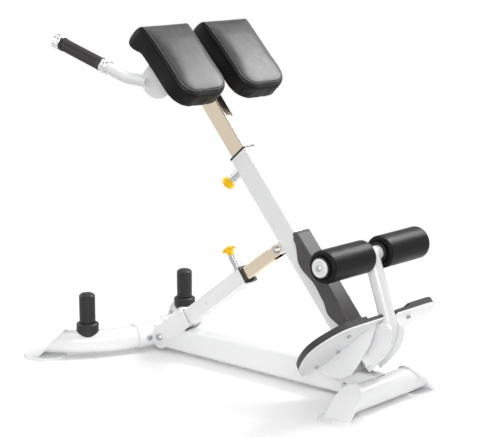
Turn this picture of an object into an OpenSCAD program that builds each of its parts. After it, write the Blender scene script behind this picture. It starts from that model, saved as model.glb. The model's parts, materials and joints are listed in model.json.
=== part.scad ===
// Roman chair: a back extension bench with a swinging upright, a telescoping strut, a sliding
// thigh pad carriage and ankle rollers. Millimetres, +X to the rear (towards the rollers), +Z up,
// symmetric about Y = 0. "Left" is the -Y side, as seen by the person on the bench.

/* [Stance] */
// Distance along X between the front and rear foot centres
foot_base = 1175; // [1120:5:1300]
// Half distance between the front feet
front_foot_y = 327; // [300:1:350]
// Half distance between the rear feet
rear_foot_y = 200; // [180:1:240]
// Diameter of the front foot discs
front_foot_d = 145; // [130:1:170]
// Diameter of the rear foot discs
rear_foot_d = 140; // [130:1:170]
// Thickness of the foot discs
foot_t = 6; // [4:0.5:8]
// Diameter of the anchor hole in each foot disc
anchor_d = 13; // [10:0.5:16]
// Distance from a foot centre out to its anchor hole
anchor_out = 50; // [46:1:54]

/* [Base frame] */
// Outside diameter of the bent front tube
front_tube_d = 78; // [72:1:84]
// Outside diameter of the straight rear tube
rear_tube_d = 80; // [72:1:84]
// Wall of the base tubes
base_wall = 3; // [2:0.25:4]
// Height of the base tube axes
tube_z = 50; // [48:1:56]
// Plan radius of the front tube
front_bend_r = 367; // [345:1:400]
// Thickness of the slanted tube end plates
end_plate_t = 7; // [5:0.5:9]
// How far an end plate stands out round its tube
end_rim = 6; // [5:0.5:7]
// How far the end plates start inside the foot centres
end_setback = 34; // [28:1:40]
// Width of the spine
spine_w = 60; // [56:1:64]
// Height of the spine
spine_h = 84; // [78:1:90]
// Underside of the spine above the floor
spine_z = 12; // [10:1:16]
// Corner radius of the spine
spine_r = 14; // [10:1:18]

/* [Band pegs] */
// Angle round the front tube's bend where the pegs stand
peg_angle = 40; // [35:1:43]
// Diameter of a peg
peg_d = 54; // [44:1:58]
// Height of the peg tops above the floor
peg_top = 219; // [200:1:240]
// Diameter of the collar under a peg
peg_collar_d = 76; // [70:1:77]
// Height of the collar tops above the floor
peg_collar_top = 117; // [112:1:124]

/* [Hinge and upright] */
// Distance of the tilt hinge in front of the rear tube
hinge_front = 116; // [105:1:125]
// Height of the tilt hinge
hinge_z = 126; // [122:1:132]
// Diameter of the hinge pin
hinge_d = 20; // [16:1:24]
// Angle of the upright above the floor
upright_angle = 49.6; // [48:0.1:52]
// Setback of the upright's centre line behind the hinge
upright_setback = 41; // [36:1:46]
// Width of the upright tube
upright_w = 50; // [48:1:54]
// Depth of the upright tube
upright_d = 76; // [72:1:82]
// Wall of the upright and strut tubes
tube_wall = 3; // [2.5:0.25:3.5]
// Length of the upright above the foot plate
upright_len = 719; // [690:1:760]

/* [Foot plate] */
// Height of the foot plate's underside above the hinge, along the upright
plate_rise = 24; // [20:1:30]
// Thickness of the steel foot plate
plate_t = 4; // [3:0.5:6]
// Thickness of the rubber mat
mat_t = 12; // [8:0.5:14]
// Height of the lip round the mat's outer edge, above the plate
mat_lip = 24; // [16:1:28]
// Reach of the plate behind the upright's centre line
plate_rear = 180; // [170:1:190]
// Corner radius of the plate
plate_corner = 95; // [85:1:100]
// Half width of the plate
plate_half = 285; // [270:1:300]

/* [Ankle rollers] */
// Distance of the roller axis behind the upright's centre line
roller_back = 233; // [226:1:245]
// Height of the roller axis above the foot plate
roller_rise = 188; // [178:1:200]
// Diameter of a roller
roller_d = 102; // [92:1:110]
// Overall width over both roller caps
roller_span = 503; // [480:1:530]
// Width of the cross tube between the rollers
roller_gap = 60; // [54:1:70]
// Diameter of the roller arm tube
arm_d = 50; // [46:1:52]
// Bend radius of the roller arm
arm_bend = 90; // [80:1:100]
// Lean of the arm's upper leg away from the upright
arm_lean = 21.3; // [18:0.1:24]

/* [Strut] */
// Distance of the strut's lower pivot behind the middle of the front tube's axis
strut_back = 56.6; // [52:0.1:62]
// Height of the strut's lower pivot
strut_z = 50; // [48:1:54]
// Height of the clevis bolt above the foot plate, along the upright
clevis_rise = 394; // [370:1:410]
// Distance of the clevis bolt in front of the upright's face
clevis_reach = 30; // [27:1:34]
// Width of the strut's outer tube
strut_w = 50; // [48:0.5:50.5]
// Depth of the strut's outer tube
strut_d = 56; // [54:1:58]
// Length of the outer tube from its pivot
strut_outer_len = 459; // [440:1:470]
// Length of the saddle along the strut
saddle_len = 150; // [135:1:180]

/* [Pad carriage] */
// Width of the inner post
post_w = 38; // [36:0.5:38.5]
// Depth of the inner post
post_d = 64; // [62:0.5:64.5]
// Length of the inner post
post_len = 655; // [620:1:680]
// How far the post stands out of the upright
post_out = 402; // [380:1:410]
// Height of the pad cross tube above the upright's top
cross_rise = 314; // [305:1:325]
// Half spacing of the pad centres
pad_y = 141; // [136:1:148]
// Width of a thigh pad
pad_w = 219; // [204:1:228]
// Length of a thigh pad
pad_len = 298; // [285:1:315]
// Depth of the pad's side boxing
pad_boxing = 68; // [62:1:69]
// Depth of the roll at the pad's top
pad_roll = 87; // [80:1:94]
// Crown of the pad's front
pad_crown = 14; // [8:1:18]
// Tip of the pads forward of the upright
pad_tip = 3.3; // [2:0.1:3.8]

/* [Handles] */
// Half spacing of the handles
handle_y = 202; // [190:1:210]
// Diameter of the handle tube
handle_d = 38; // [32:1:40]
// Diameter of the grip
grip_d = 43; // [41:0.5:46]
// Length of the grip
grip_len = 204; // [180:1:220]
// Upward slope of the grip
grip_slope = 16.6; // [12:0.1:20]

/* [Pop pins] */
// Diameter of the pin
pin_d = 10; // [8:0.5:11]
// Outside diameter of the pin barrel
barrel_d = 26; // [24:0.5:30]
// Length of the pin barrel
barrel_len = 54; // [46:1:60]
// Diameter of the pull knob
knob_d = 45; // [38:1:50]
// Spacing of the adjustment holes
hole_pitch = 28; // [24:1:32]

/* [Fits] */
// Gap between pieces that slide
slide_gap = 0.3; // [0.2:0.05:0.4]
// Radial gap of pins that turn in bores
run_gap = 0.05; // [0.02:0.01:0.09]
// Gap at welded and seated joints
seat_gap = 0.1; // [0.05:0.05:0.3]

/* [Hidden] */
$fn = 64;
tiny = 1;
white = [0.93, 0.93, 0.94];
black = [0.09, 0.09, 0.1];
dark_grey = [0.27, 0.26, 0.27];
zinc = [0.72, 0.74, 0.76];
nickel = [0.80, 0.76, 0.70];
chrome = [0.86, 0.87, 0.88];
yellow = [1.0, 0.78, 0.0];
SIDES = [-1, 1];

// Stations along X: the origin is the middle of the feet's outer edges
rear_x = (foot_base + front_foot_d / 2 - rear_foot_d / 2) / 2;
front_foot_x = rear_x - foot_base;
hinge_x = rear_x - hinge_front;
spine_top = spine_z + spine_h;

// The front tube is an arc round bend_x that passes over both front feet
foot_angle = asin(front_foot_y / front_bend_r);
bend_x = front_foot_x - front_bend_r * cos(foot_angle);
strut_x = bend_x + front_bend_r + strut_back;
setback_angle = end_setback / front_bend_r * 180 / PI;
end_angle = foot_angle - setback_angle;
hub_angle = 14;
hub_wall = 2.5;

// Upright frame: x behind the upright's centre line, z along it, with the foot plate at plate_z
lean = 90 - upright_angle;
hinge_rise = 200;
plate_z = hinge_rise + plate_rise;
upright_top = plate_z + upright_len;
mat_z = plate_z + plate_t;
roller_z = plate_z + roller_rise;
roller_r = roller_d / 2;
clevis_x = -upright_d / 2 - clevis_reach;
clevis_z = plate_z + clevis_rise;
function swing_x(x, z) = hinge_x + (x + upright_setback) * cos(lean) - (z - hinge_rise) * sin(lean);
function swing_z(x, z) = hinge_z + (x + upright_setback) * sin(lean) + (z - hinge_rise) * cos(lean);

// Strut: from its lower pivot to the clevis bolt
strut_run = swing_x(clevis_x, clevis_z) - strut_x;
strut_climb = swing_z(clevis_x, clevis_z) - strut_z;
strut_len = norm([strut_run, strut_climb]);
strut_angle = atan2(strut_climb, strut_run);
strut_bolt_d = 16;
inner_w = strut_w - 2 * tube_wall - 6;
inner_d = strut_d - 2 * tube_wall - 6;
inner_overlap = 165;
ear_r = 18;
ear_t = 4;
ear_back = 26;
clevis_d = 12;
clevis_play = 3;
lug_w = inner_w - 2 * ear_t - 2;
lower_pin_s = strut_outer_len - 22;
collar_t = 8;

// Yoke under the foot plate
cheek_out = 56;
cheek_t = 6;
cheek_in = cheek_out - cheek_t;
lug_base_w = spine_w - 2 * spine_r;
bush_d = hinge_d + 6;
yoke_top_t = 6;
arm_start = 14;
arm_low = 156;
arm_rise_angle = 5.4;

// Carriage
upper_pin_z = upright_top - 38;
bushing_flange = 6;
bushing_len = 90;
post_bottom = upright_top + post_out - post_len;
cross_z = upright_top + cross_rise;
cross_x = 10;
cross_d = 42;
plate_r = 76;
plate_x = 27;
side_plate_t = 6;
flange_t = 4;
board_t = 12;
pad_foot_x = 129;
pad_drop = 152;
pad_foot_z = cross_z - pad_drop;
pad_half = pad_w / 2;
pad_edge = 16;
pad_draw = 4;
pad_corner = 66;
pad_end_low = 24;
pad_end_top = 42;

// Shared shapes
module along_y(len, d) {
  rotate([90, 0, 0]) cylinder(h = len, d = d, center = true);
}

module rounded_rect(x, y, r) {
  square([x - 2 * r, y], center = true);
  square([x, y - 2 * r], center = true);
  for (i = SIDES, j = SIDES) translate([i * (x / 2 - r), j * (y / 2 - r)]) circle(r);
}

module box_tube(x, y, len, wall, r) {
  linear_extrude(len) difference() {
    rounded_rect(x, y, r);
    rounded_rect(x - 2 * wall, y - 2 * wall, max(r - wall, 1));
  }
}

// A round bend that starts along +Z and turns towards -X
module bend(d, r, turn) {
  translate([-r, 0, 0]) rotate([90, 0, 0]) rotate_extrude(angle = turn) translate([r, 0]) circle(d = d);
}

// Places its children at the end of such a bend
module after_bend(r, turn) {
  translate([-r, 0, 0]) rotate([0, -turn, 0]) translate([r, 0, 0]) children();
}

// A low round bolt head with a socket, standing along +Z
module bolt_head(d, h) {
  difference() {
    rotate_extrude() polygon([[0, 0], [d / 2, 0], [d / 2, h * 0.45], [d * 0.36, h], [0, h]]);
    translate([0, 0, h * 0.5]) cylinder(h = h, d = d * 0.4, $fn = 6);
  }
}

// Frames
module swing_frame() {
  translate([hinge_x, 0, hinge_z]) rotate([0, -lean, 0])
    translate([upright_setback, 0, -hinge_rise]) children();
}

// Along the strut, with the strut's top towards -X
module strut_frame() {
  translate([strut_x, 0, strut_z]) rotate([0, 90 - strut_angle, 0]) children();
}

// On the front (-X) face of a tube, looking out of it
module pin_frame(face, z) {
  translate([-face, 0, z]) rotate([0, -90, 0]) children();
}

module pad_frame(side) {
  swing_frame() translate([pad_foot_x, side * pad_y, pad_foot_z]) rotate([0, -pad_tip, 0]) children();
}

// Base: tubes, their slanted ends and the feet
module front_arc(d, half_angle) {
  translate([bend_x, 0, tube_z]) rotate([0, 0, -half_angle])
    rotate_extrude(angle = 2 * half_angle) translate([front_bend_r, 0]) circle(d = d);
}

// At a tube's end, with +Y out along the tube
module at_front_end(side) {
  mirror([0, side < 0 ? 1 : 0, 0]) translate([bend_x, 0, tube_z]) rotate([0, 0, end_angle])
    translate([front_bend_r, 0, 0]) children();
}

module at_rear_end(side) {
  mirror([0, side < 0 ? 1 : 0, 0]) translate([rear_x, rear_foot_y - end_setback, tube_z]) children();
}

slab = 5 * rear_tube_d;
module slant_slab(t) {
  rotate([45, 0, 0]) translate([-slab / 2, 0, -slab / 2]) cube([slab, t, slab]);
}

// Round over the tube, straight-sided from its middle down to the foot
module end_plate(tube_d) {
  rim_d = tube_d + 2 * end_rim;
  intersection() {
    slant_slab(end_plate_t);
    rotate([90, 0, 0]) linear_extrude(2 * slab, center = true) {
      circle(d = rim_d);
      translate([-rim_d / 2, -tube_z]) square([rim_d, tube_z]);
    }
    translate([-slab / 2, -slab, foot_t + seat_gap - tube_z]) cube([slab, 2 * slab, slab]);
  }
}

module foot_disc(d) {
  difference() {
    rotate_extrude()
      polygon([[0, 0], [d / 2, 0], [d / 2, foot_t / 2], [d / 2 - foot_t / 2, foot_t], [0, foot_t]]);
    translate([0, anchor_out, -tiny]) cylinder(h = foot_t + 2 * tiny, d = anchor_d);
  }
}

module front_stabilizer() {
  reach = end_angle + (front_tube_d / 2 + end_plate_t) / front_bend_r * 180 / PI;
  color(white) difference() {
    front_arc(front_tube_d, reach);
    front_arc(front_tube_d - 2 * base_wall, reach + 1);
    for (s = SIDES) at_front_end(s) slant_slab(slab);
  }
}

module front_end_plates() {
  color(white) for (s = SIDES) at_front_end(s) end_plate(front_tube_d);
}

module front_foot_discs() {
  color(white) for (s = SIDES)
    mirror([0, s < 0 ? 1 : 0, 0]) translate([front_foot_x, front_foot_y, 0]) foot_disc(front_foot_d);
}

module rear_stabilizer() {
  color(white) difference() {
    translate([rear_x, 0, tube_z]) along_y(2 * (rear_foot_y + rear_tube_d), rear_tube_d);
    translate([rear_x, 0, tube_z]) along_y(2 * (rear_foot_y + slab), rear_tube_d - 2 * base_wall);
    for (s = SIDES) at_rear_end(s) slant_slab(slab);
  }
}

module rear_end_plates() {
  color(white) for (s = SIDES) at_rear_end(s) end_plate(rear_tube_d);
}

module rear_foot_discs() {
  color(white) for (s = SIDES)
    mirror([0, s < 0 ? 1 : 0, 0]) translate([rear_x, rear_foot_y, 0]) foot_disc(rear_foot_d);
}

module at_peg(side) {
  translate([bend_x, 0, 0]) rotate([0, 0, side * peg_angle]) translate([front_bend_r, 0, 0]) children();
}

peg_chamfer = 8;
module band_pegs() {
  color(black) for (s = SIDES) at_peg(s) translate([0, 0, peg_collar_top + seat_gap])
    rotate_extrude() polygon([
      [0, 0], [peg_d / 2, 0], [peg_d / 2, peg_top - peg_collar_top - peg_chamfer],
      [peg_d / 2 - peg_chamfer, peg_top - peg_collar_top - seat_gap], [0, peg_top - peg_collar_top - seat_gap]
    ]);
}

collar_drop = 16;
collar_chamfer = 4;
collar_taper = 9;
module peg_collars() {
  high = peg_collar_top - tube_z - collar_drop;
  color(black) difference() {
    for (s = SIDES) at_peg(s) translate([0, 0, tube_z + collar_drop])
      rotate_extrude() polygon([
        [0, 0], [peg_collar_d / 2 - collar_taper, 0], [peg_collar_d / 2, front_tube_d / 2 - collar_drop],
        [peg_collar_d / 2, high - collar_chamfer], [peg_collar_d / 2 - collar_chamfer, high], [0, high]
      ]);
    front_arc(front_tube_d + 2 * seat_gap, end_angle);
  }
}

hub_d = front_tube_d + 2 * seat_gap + 2 * hub_wall;
module base_spine() {
  front_end = bend_x + front_bend_r;
  middle_z = spine_z + spine_h / 2;
  slot_len = (spine_top - strut_z + (strut_d / 2 + 8) / cos(strut_angle)) / tan(strut_angle);
  color(white) difference() {
    translate([front_end, 0, middle_z]) rotate([90, 0, 90])
      box_tube(spine_w, spine_h, rear_x - front_end, base_wall, spine_r);
    front_arc(hub_d + 2 * seat_gap, hub_angle);
    translate([rear_x, 0, tube_z]) along_y(2 * spine_w, rear_tube_d + 2 * seat_gap);
    translate([front_end, -strut_w / 2 - 1.2, middle_z])
      cube([strut_x + slot_len - front_end, strut_w + 2.4, spine_h]);
    translate([strut_x, 0, strut_z]) along_y(2 * spine_w, strut_bolt_d + 2 * seat_gap);
  }
}

saddle_gap = 2;
saddle_t = 5;
saddle_in = spine_w / 2 + seat_gap;
saddle_top = strut_d / 2 + saddle_gap;
saddle_skirt = 33;
saddle_lobe = 40;
web_start = 58;
module saddle_bracket() {
  color(white) difference() {
    union() {
      front_arc(hub_d, hub_angle);
      for (s = SIDES) translate([0, s * (saddle_in + saddle_t / 2), 0]) strut_frame() {
        along_y(saddle_t, 2 * saddle_lobe);
        translate([-saddle_top - saddle_t, -saddle_t / 2, 0])
          cube([saddle_top + saddle_t + saddle_skirt, saddle_t, saddle_len]);
      }
      strut_frame() translate([-saddle_top - saddle_t, -saddle_in - saddle_t / 2, web_start])
        cube([saddle_t, 2 * saddle_in + saddle_t, saddle_len - web_start]);
    }
    front_arc(front_tube_d + 2 * seat_gap, hub_angle + 8);
    translate([strut_x, 0, strut_z]) along_y(3 * spine_w, strut_bolt_d + 2 * seat_gap);
  }
}

hub_bolt_angle = 9;
module saddle_bolts() {
  color(zinc) for (s = SIDES) translate([bend_x, 0, tube_z]) rotate([0, 0, s * hub_bolt_angle])
    translate([front_bend_r, 0, 0]) difference() {
      translate([hub_d / 2 - 3, 0, 0]) rotate([0, 90, 0]) bolt_head(22, 10);
      along_y(hub_d, hub_d + 2 * seat_gap);
    }
}

module strut_pivot_bolt() {
  head_y = saddle_in + saddle_t + seat_gap;
  color(zinc) translate([strut_x, 0, strut_z]) {
    along_y(2 * head_y + 2 * tiny, strut_bolt_d);
    for (s = SIDES) rotate([s * -90, 0, 0]) translate([0, 0, head_y]) bolt_head(24, 8);
  }
}

lug_r = plate_rise - yoke_top_t - 1.5;
module hinge_lug() {
  base = 34;
  color(white) difference() {
    translate([hinge_x, 0, 0]) union() {
      translate([0, 0, hinge_z]) along_y(lug_base_w, 2 * lug_r);
      rotate([90, 0, 0]) linear_extrude(lug_base_w, center = true) polygon([
        [-base, spine_top], [base, spine_top], [lug_r * 0.94, hinge_z + lug_r * 0.34],
        [-lug_r * 0.94, hinge_z + lug_r * 0.34]
      ]);
    }
    translate([hinge_x, 0, hinge_z]) along_y(2 * lug_base_w, hinge_d + 2 * seat_gap);
  }
}

cover_t = 2;
module hinge_pin() {
  color(zinc) translate([hinge_x, 0, hinge_z]) along_y(2 * (cheek_out - cover_t - slide_gap), hinge_d);
}

spine_bolt_z = 45;
module spine_bolts() {
  color(zinc) for (s = SIDES) translate([hinge_x, s * (spine_w / 2 + seat_gap), spine_bolt_z])
    rotate([s * -90, 0, 0]) bolt_head(18, 7);
}

// Pop pins: z = 0 on the face of the tube that carries the barrel
chamber_d = barrel_d - 6;
chamber_floor = 8;
chamber_roof = 8;
shoulder_t = 4;
pull = 12;
module pin_barrel() {
  color(zinc) difference() {
    union() {
      cylinder(h = barrel_len, d = barrel_d);
      cylinder(h = 7, d = barrel_d + 6, $fn = 6);
    }
    translate([0, 0, -tiny]) cylinder(h = barrel_len + 2 * tiny, d = pin_d + 2 * run_gap);
    translate([0, 0, chamber_floor]) cylinder(h = barrel_len - chamber_floor - chamber_roof, d = chamber_d);
  }
}

module pin_plunger(depth) {
  tip = depth - slide_gap;
  color(zinc) {
    translate([0, 0, -tip]) cylinder(h = tip + barrel_len + knob_seat - seat_gap, d = pin_d);
    translate([0, 0, chamber_floor + slide_gap]) cylinder(h = shoulder_t, d = chamber_d - 2 * slide_gap);
  }
}

knob_seat = 14;
knob_h = 30;
module pull_knob() {
  neck = 10;
  flare_z = 6;
  rim_z = 20;
  rim_t = 3;
  rim_r = knob_d / 2;
  flare = [for (a = [0:10:90]) [neck + (rim_r - neck) * (1 - cos(a)), flare_z + (rim_z - flare_z) * sin(a)]];
  dome = [for (a = [0:10:80]) [rim_r * cos(a), rim_z + rim_t + (knob_h - rim_z - rim_t) * sin(a)]];
  color(yellow) translate([0, 0, barrel_len + slide_gap]) difference() {
    rotate_extrude() polygon(concat([[0, 0], [neck, 0]], flare, dome, [[0, knob_h]]));
    translate([0, 0, -tiny]) cylinder(h = knob_seat + tiny, d = pin_d + 2 * seat_gap);
  }
}

// A coil of round wire between two heights
spring_wire = 1.8;
spring_turns = 7;
function ring_point(c, out, up, r, a) = c + r * (cos(a) * out + sin(a) * up);
module coil_spring(z0, z1) {
  sides = 6;
  steps = spring_turns * 12;
  mean_r = (pin_d + chamber_d) / 4;
  rise = z1 - z0 - spring_wire;
  points = [for (i = [0:steps], k = [0:sides - 1]) let (a = 360 * spring_turns * i / steps)
    ring_point([mean_r * cos(a), mean_r * sin(a), z0 + spring_wire / 2 + rise * i / steps],
      [cos(a), sin(a), 0], [0, 0, 1], spring_wire / 2, 360 * k / sides)];
  walls = [for (i = [0:steps - 1], k = [0:sides - 1]) let (
      p = i * sides + k, q = i * sides + (k + 1) % sides, r = p + sides, t = q + sides
    ) each [[p, q, t], [p, t, r]]];
  far = steps * sides;
  caps = [for (k = [1:sides - 2]) each [[0, k + 1, k], [far, far + k, far + k + 1]]];
  color(zinc) polyhedron(points, concat(walls, caps));
}

module pin_spring() {
  coil_spring(chamber_floor + slide_gap + shoulder_t + seat_gap, barrel_len - chamber_roof - seat_gap);
}

strut_pin_depth = (strut_d - inner_d) / 2;
post_pin_depth = (upright_d - post_d) / 2;
module lower_pin_frame() {
  strut_frame() pin_frame(strut_d / 2, lower_pin_s) children();
}

module upper_pin_frame() {
  swing_frame() pin_frame(upright_d / 2, upper_pin_z) children();
}

module lower_pin_barrel() {
  lower_pin_frame() translate([0, 0, seat_gap]) pin_barrel();
}

module lower_pin_plunger() {
  lower_pin_frame() pin_plunger(strut_pin_depth);
}

module lower_pin_spring() {
  lower_pin_frame() translate([0, 0, seat_gap]) pin_spring();
}

module lower_pin_knob() {
  lower_pin_frame() translate([0, 0, seat_gap]) pull_knob();
}

module upper_pin_barrel() {
  upper_pin_frame() translate([0, 0, seat_gap]) pin_barrel();
}

module upper_pin_plunger() {
  upper_pin_frame() pin_plunger(post_pin_depth);
}

module upper_pin_spring() {
  upper_pin_frame() translate([0, 0, seat_gap]) pin_spring();
}

module upper_pin_knob() {
  upper_pin_frame() translate([0, 0, seat_gap]) pull_knob();
}

// Strut: outer tube with its pivot boss, end collar, and the inner tube with its clevis ears
strut_corner = 6;
boss_d = 28;
boss_clear = 2;
drain_d = 6;
drain_s = strut_outer_len - 201;
module strut_outer_tube() {
  color(white) strut_frame() difference() {
    union() {
      difference() {
        translate([0, 0, boss_clear])
          box_tube(strut_d, strut_w, strut_outer_len - boss_clear, tube_wall, strut_corner);
        pin_frame(0, lower_pin_s) cylinder(h = strut_d, d = pin_d + 2 * slide_gap);
      }
      along_y(strut_w, boss_d);
    }
    along_y(2 * strut_w, strut_bolt_d + 2 * run_gap);
    translate([0, 0, drain_s]) along_y(2 * strut_w, drain_d);
  }
}

// A plastic guide sleeve in a tube's mouth: flange outside, lining inside, post through the middle
module guide_sleeve(tube_x, tube_y, post_x, post_y, lining, flange, pin_drop) {
  rim = 3;
  difference() {
    union() {
      translate([0, 0, seat_gap]) linear_extrude(flange) rounded_rect(tube_x + rim, tube_y + rim, strut_corner);
      translate([0, 0, -lining]) linear_extrude(lining + tiny)
        rounded_rect(
          tube_x - 2 * (tube_wall + seat_gap), tube_y - 2 * (tube_wall + seat_gap), strut_corner - tube_wall
        );
    }
    translate([0, 0, -lining - tiny]) linear_extrude(lining + flange + 3 * tiny)
      rounded_rect(post_x + 2 * slide_gap, post_y + 2 * slide_gap, strut_corner - tube_wall);
    pin_frame(0, -pin_drop) cylinder(h = tube_x, d = pin_d + 2 * slide_gap);
  }
}

module strut_collar() {
  color(black) strut_frame() translate([0, 0, strut_outer_len])
    guide_sleeve(strut_d, strut_w, inner_d, inner_w, 60, collar_t, strut_outer_len - lower_pin_s);
}

module strut_inner_tube() {
  bottom = strut_outer_len - inner_overlap;
  body_end = strut_len - ear_back;
  holes = [-1:3];
  color(nickel) strut_frame() difference() {
    union() {
      translate([0, 0, bottom])
        box_tube(inner_d, inner_w, body_end - bottom, tube_wall, strut_corner - tube_wall + 1);
      for (s = SIDES) translate([0, s * (inner_w - ear_t) / 2, 0]) {
        translate([-ear_r, -ear_t / 2, body_end - ear_r]) cube([2 * ear_r, ear_t, ear_r + ear_back]);
        translate([0, 0, strut_len]) along_y(ear_t, 2 * ear_r);
      }
    }
    translate([0, 0, strut_len]) along_y(2 * inner_w, clevis_d + 2 * clevis_play);
    for (k = holes) pin_frame(0, lower_pin_s + k * hole_pitch) cylinder(h = inner_d, d = pin_d + 1);
  }
}

// Upright with its clevis lug, top bushing and shin guard
upright_corner = 6;
module upright_tube() {
  color(white) swing_frame() difference() {
    translate([0, 0, plate_z]) box_tube(upright_d, upright_w, upright_len, tube_wall, upright_corner);
    pin_frame(0, upper_pin_z) cylinder(h = upright_d, d = pin_d + 2 * slide_gap);
  }
}

module upright_lug() {
  lug_end = 16;
  color(white) swing_frame() translate([clevis_x, 0, clevis_z]) difference() {
    union() {
      along_y(lug_w, 2 * lug_end);
      translate([0, -lug_w / 2, -lug_end]) cube([clevis_reach - seat_gap, lug_w, 2 * lug_end]);
    }
    along_y(2 * lug_w, clevis_d + 2 * seat_gap);
  }
}

module clevis_bolt() {
  washer = 2.5;
  head_y = inner_w / 2 + slide_gap;
  color(zinc) swing_frame() translate([clevis_x, 0, clevis_z]) {
    along_y(2 * head_y + washer, clevis_d);
    for (s = SIDES) rotate([s * -90, 0, 0]) translate([0, 0, head_y]) {
      cylinder(h = washer, d = 2 * (clevis_d / 2 + clevis_play) + 8);
      translate([0, 0, washer]) bolt_head(22, 7);
    }
  }
}

module upright_bushing() {
  color(black) swing_frame() translate([0, 0, upright_top])
    guide_sleeve(upright_d, upright_w, post_d, post_w, bushing_len, bushing_flange, upright_top - upper_pin_z);
}

// Front edge of the guard's side skirts: [height above the mat, x], joined by smooth waves
guard_h = 377;
guard_skirt = 8;
guard_back = 15;
guard_gap = 0.3;
guard_wave = [[0, 9], [48, 9], [105, -7], [150, 4], [200, 8], [281, -6], [359, 26], [guard_h - 6, 34]];
function ease(a, b, f) = a + (b - a) * (1 - cos(180 * f)) / 2;
module shin_guard() {
  foot = mat_z + mat_t + slide_gap;
  back = upright_d / 2 + guard_back;
  steps = 6;
  wave = [for (i = [0:len(guard_wave) - 2], k = [0:steps - 1]) let (p = guard_wave[i], q = guard_wave[i + 1])
    [ease(p[1], q[1], k / steps), p[0] + (q[0] - p[0]) * k / steps]];
  outline = concat(wave, [[upright_d / 2 - 2, guard_h], [back - 6, guard_h], [back, guard_h - 10], [back, 0]]);
  color(dark_grey) swing_frame() translate([0, 0, foot]) difference() {
    rotate([90, 0, 0]) linear_extrude(upright_w + 2 * guard_skirt, center = true) polygon(outline);
    translate([-upright_d, -upright_w / 2 - guard_gap, -tiny])
      cube([upright_d * 1.5 + guard_gap, upright_w + 2 * guard_gap, guard_h + 2 * tiny]);
    for (s = SIDES) translate([back, s * (upright_w / 2 + guard_skirt), -tiny]) rotate([0, 0, 45])
      cube([5, 5, 3 * guard_h], center = true);
  }
}

// Yoke: two cheeks, a top plate that carries the upright, a web that the roller arm passes through,
// and a gusset on each side of the arm that follows its bend
arm_tan = tan(arm_lean);
arm_corner_x = (roller_back - arm_tan * (roller_z - arm_low)) / (1 - arm_tan * tan(arm_rise_angle));
arm_corner_z = arm_low + arm_corner_x * tan(arm_rise_angle);
arm_turn = 90 - arm_lean - arm_rise_angle;
arm_tangent = arm_bend * tan(arm_turn / 2);
arm_lower = (arm_corner_x - arm_start) / cos(arm_rise_angle) - arm_tangent;
arm_upper = (roller_z - arm_corner_z) / cos(arm_lean) - arm_tangent;
module arm_frame() {
  translate([arm_start, 0, arm_low + arm_start * tan(arm_rise_angle)])
    rotate([0, 90 - arm_rise_angle, 0]) children();
}

module arm_lower_run(d, before) {
  arm_frame() {
    translate([0, 0, -before]) cylinder(h = arm_lower + before, d = d);
    translate([0, 0, arm_lower]) bend(d, arm_bend, arm_turn);
  }
}

module arm_upper_run(d, before, length) {
  arm_frame() translate([0, 0, arm_lower]) after_bend(arm_bend, arm_turn)
    translate([0, 0, -before]) cylinder(h = length + before, d = d);
}

yoke_front = -125;
yoke_rear = 148;
web_x = 34;
web_t = 6;
gusset_t = 6;
gusset_w = 68;
gusset_turn = 40;
module arm_gusset() {
  half = gusset_w / 2;
  centre = [-arm_bend, arm_lower];
  end = centre + arm_bend * [cos(gusset_turn), sin(gusset_turn)];
  outer = [for (a = [0:5:gusset_turn]) centre + (arm_bend + half) * [cos(a), sin(a)]];
  inner = [for (a = [gusset_turn:-5:0]) centre + (arm_bend - half) * [cos(a), sin(a)]];
  tip = [for (a = [15:15:165]) end + half * [cos(gusset_turn + a), sin(gusset_turn + a)]];
  arm_frame() rotate([90, 0, 0]) linear_extrude(gusset_t, center = true)
    polygon(concat([[half, 0]], outer, tip, inner, [[-half, 0]]));
}

module pivot_yoke() {
  under = plate_z - seat_gap;
  cheek = [
    [yoke_front, under], [yoke_front, under - 20], [yoke_front + 12, under - 40],
    [-70, under - 68], [-28, under - 78], [17, under - 66], [88, under - 42],
    [yoke_rear, under - 4], [yoke_rear, under]
  ];
  color(white) swing_frame() difference() {
    union() {
      for (s = SIDES) translate([0, s * (cheek_out - cheek_t / 2), 0])
        rotate([90, 0, 0]) linear_extrude(cheek_t, center = true) polygon(cheek);
      translate([-80, -cheek_in - tiny, under - yoke_top_t]) cube([160, 2 * cheek_in + 2 * tiny, yoke_top_t]);
      translate([web_x, -cheek_in - tiny, arm_low - 20])
        cube([web_t, 2 * cheek_in + 2 * tiny, under - arm_low + 20]);
      for (s = SIDES) translate([0, s * (arm_d / 2 + slide_gap + gusset_t / 2), 0]) arm_gusset();
    }
    arm_lower_run(arm_d + 2 * seat_gap, tiny);
    translate([-upright_setback, 0, hinge_rise]) along_y(3 * cheek_out, bush_d + 2 * seat_gap);
  }
}

module pivot_bushes() {
  inner = lug_base_w / 2 + slide_gap;
  outer = cheek_out - cover_t - slide_gap;
  color(zinc) translate([hinge_x, 0, hinge_z]) difference() {
    for (s = SIDES) translate([0, s * (inner + outer) / 2, 0]) along_y(outer - inner, bush_d);
    along_y(3 * cheek_out, hinge_d + 2 * run_gap);
  }
}

module pivot_covers() {
  color(white) translate([hinge_x, 0, hinge_z])
    for (s = SIDES) translate([0, s * (cheek_out - cover_t / 2), 0]) along_y(cover_t, bush_d);
}

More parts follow.
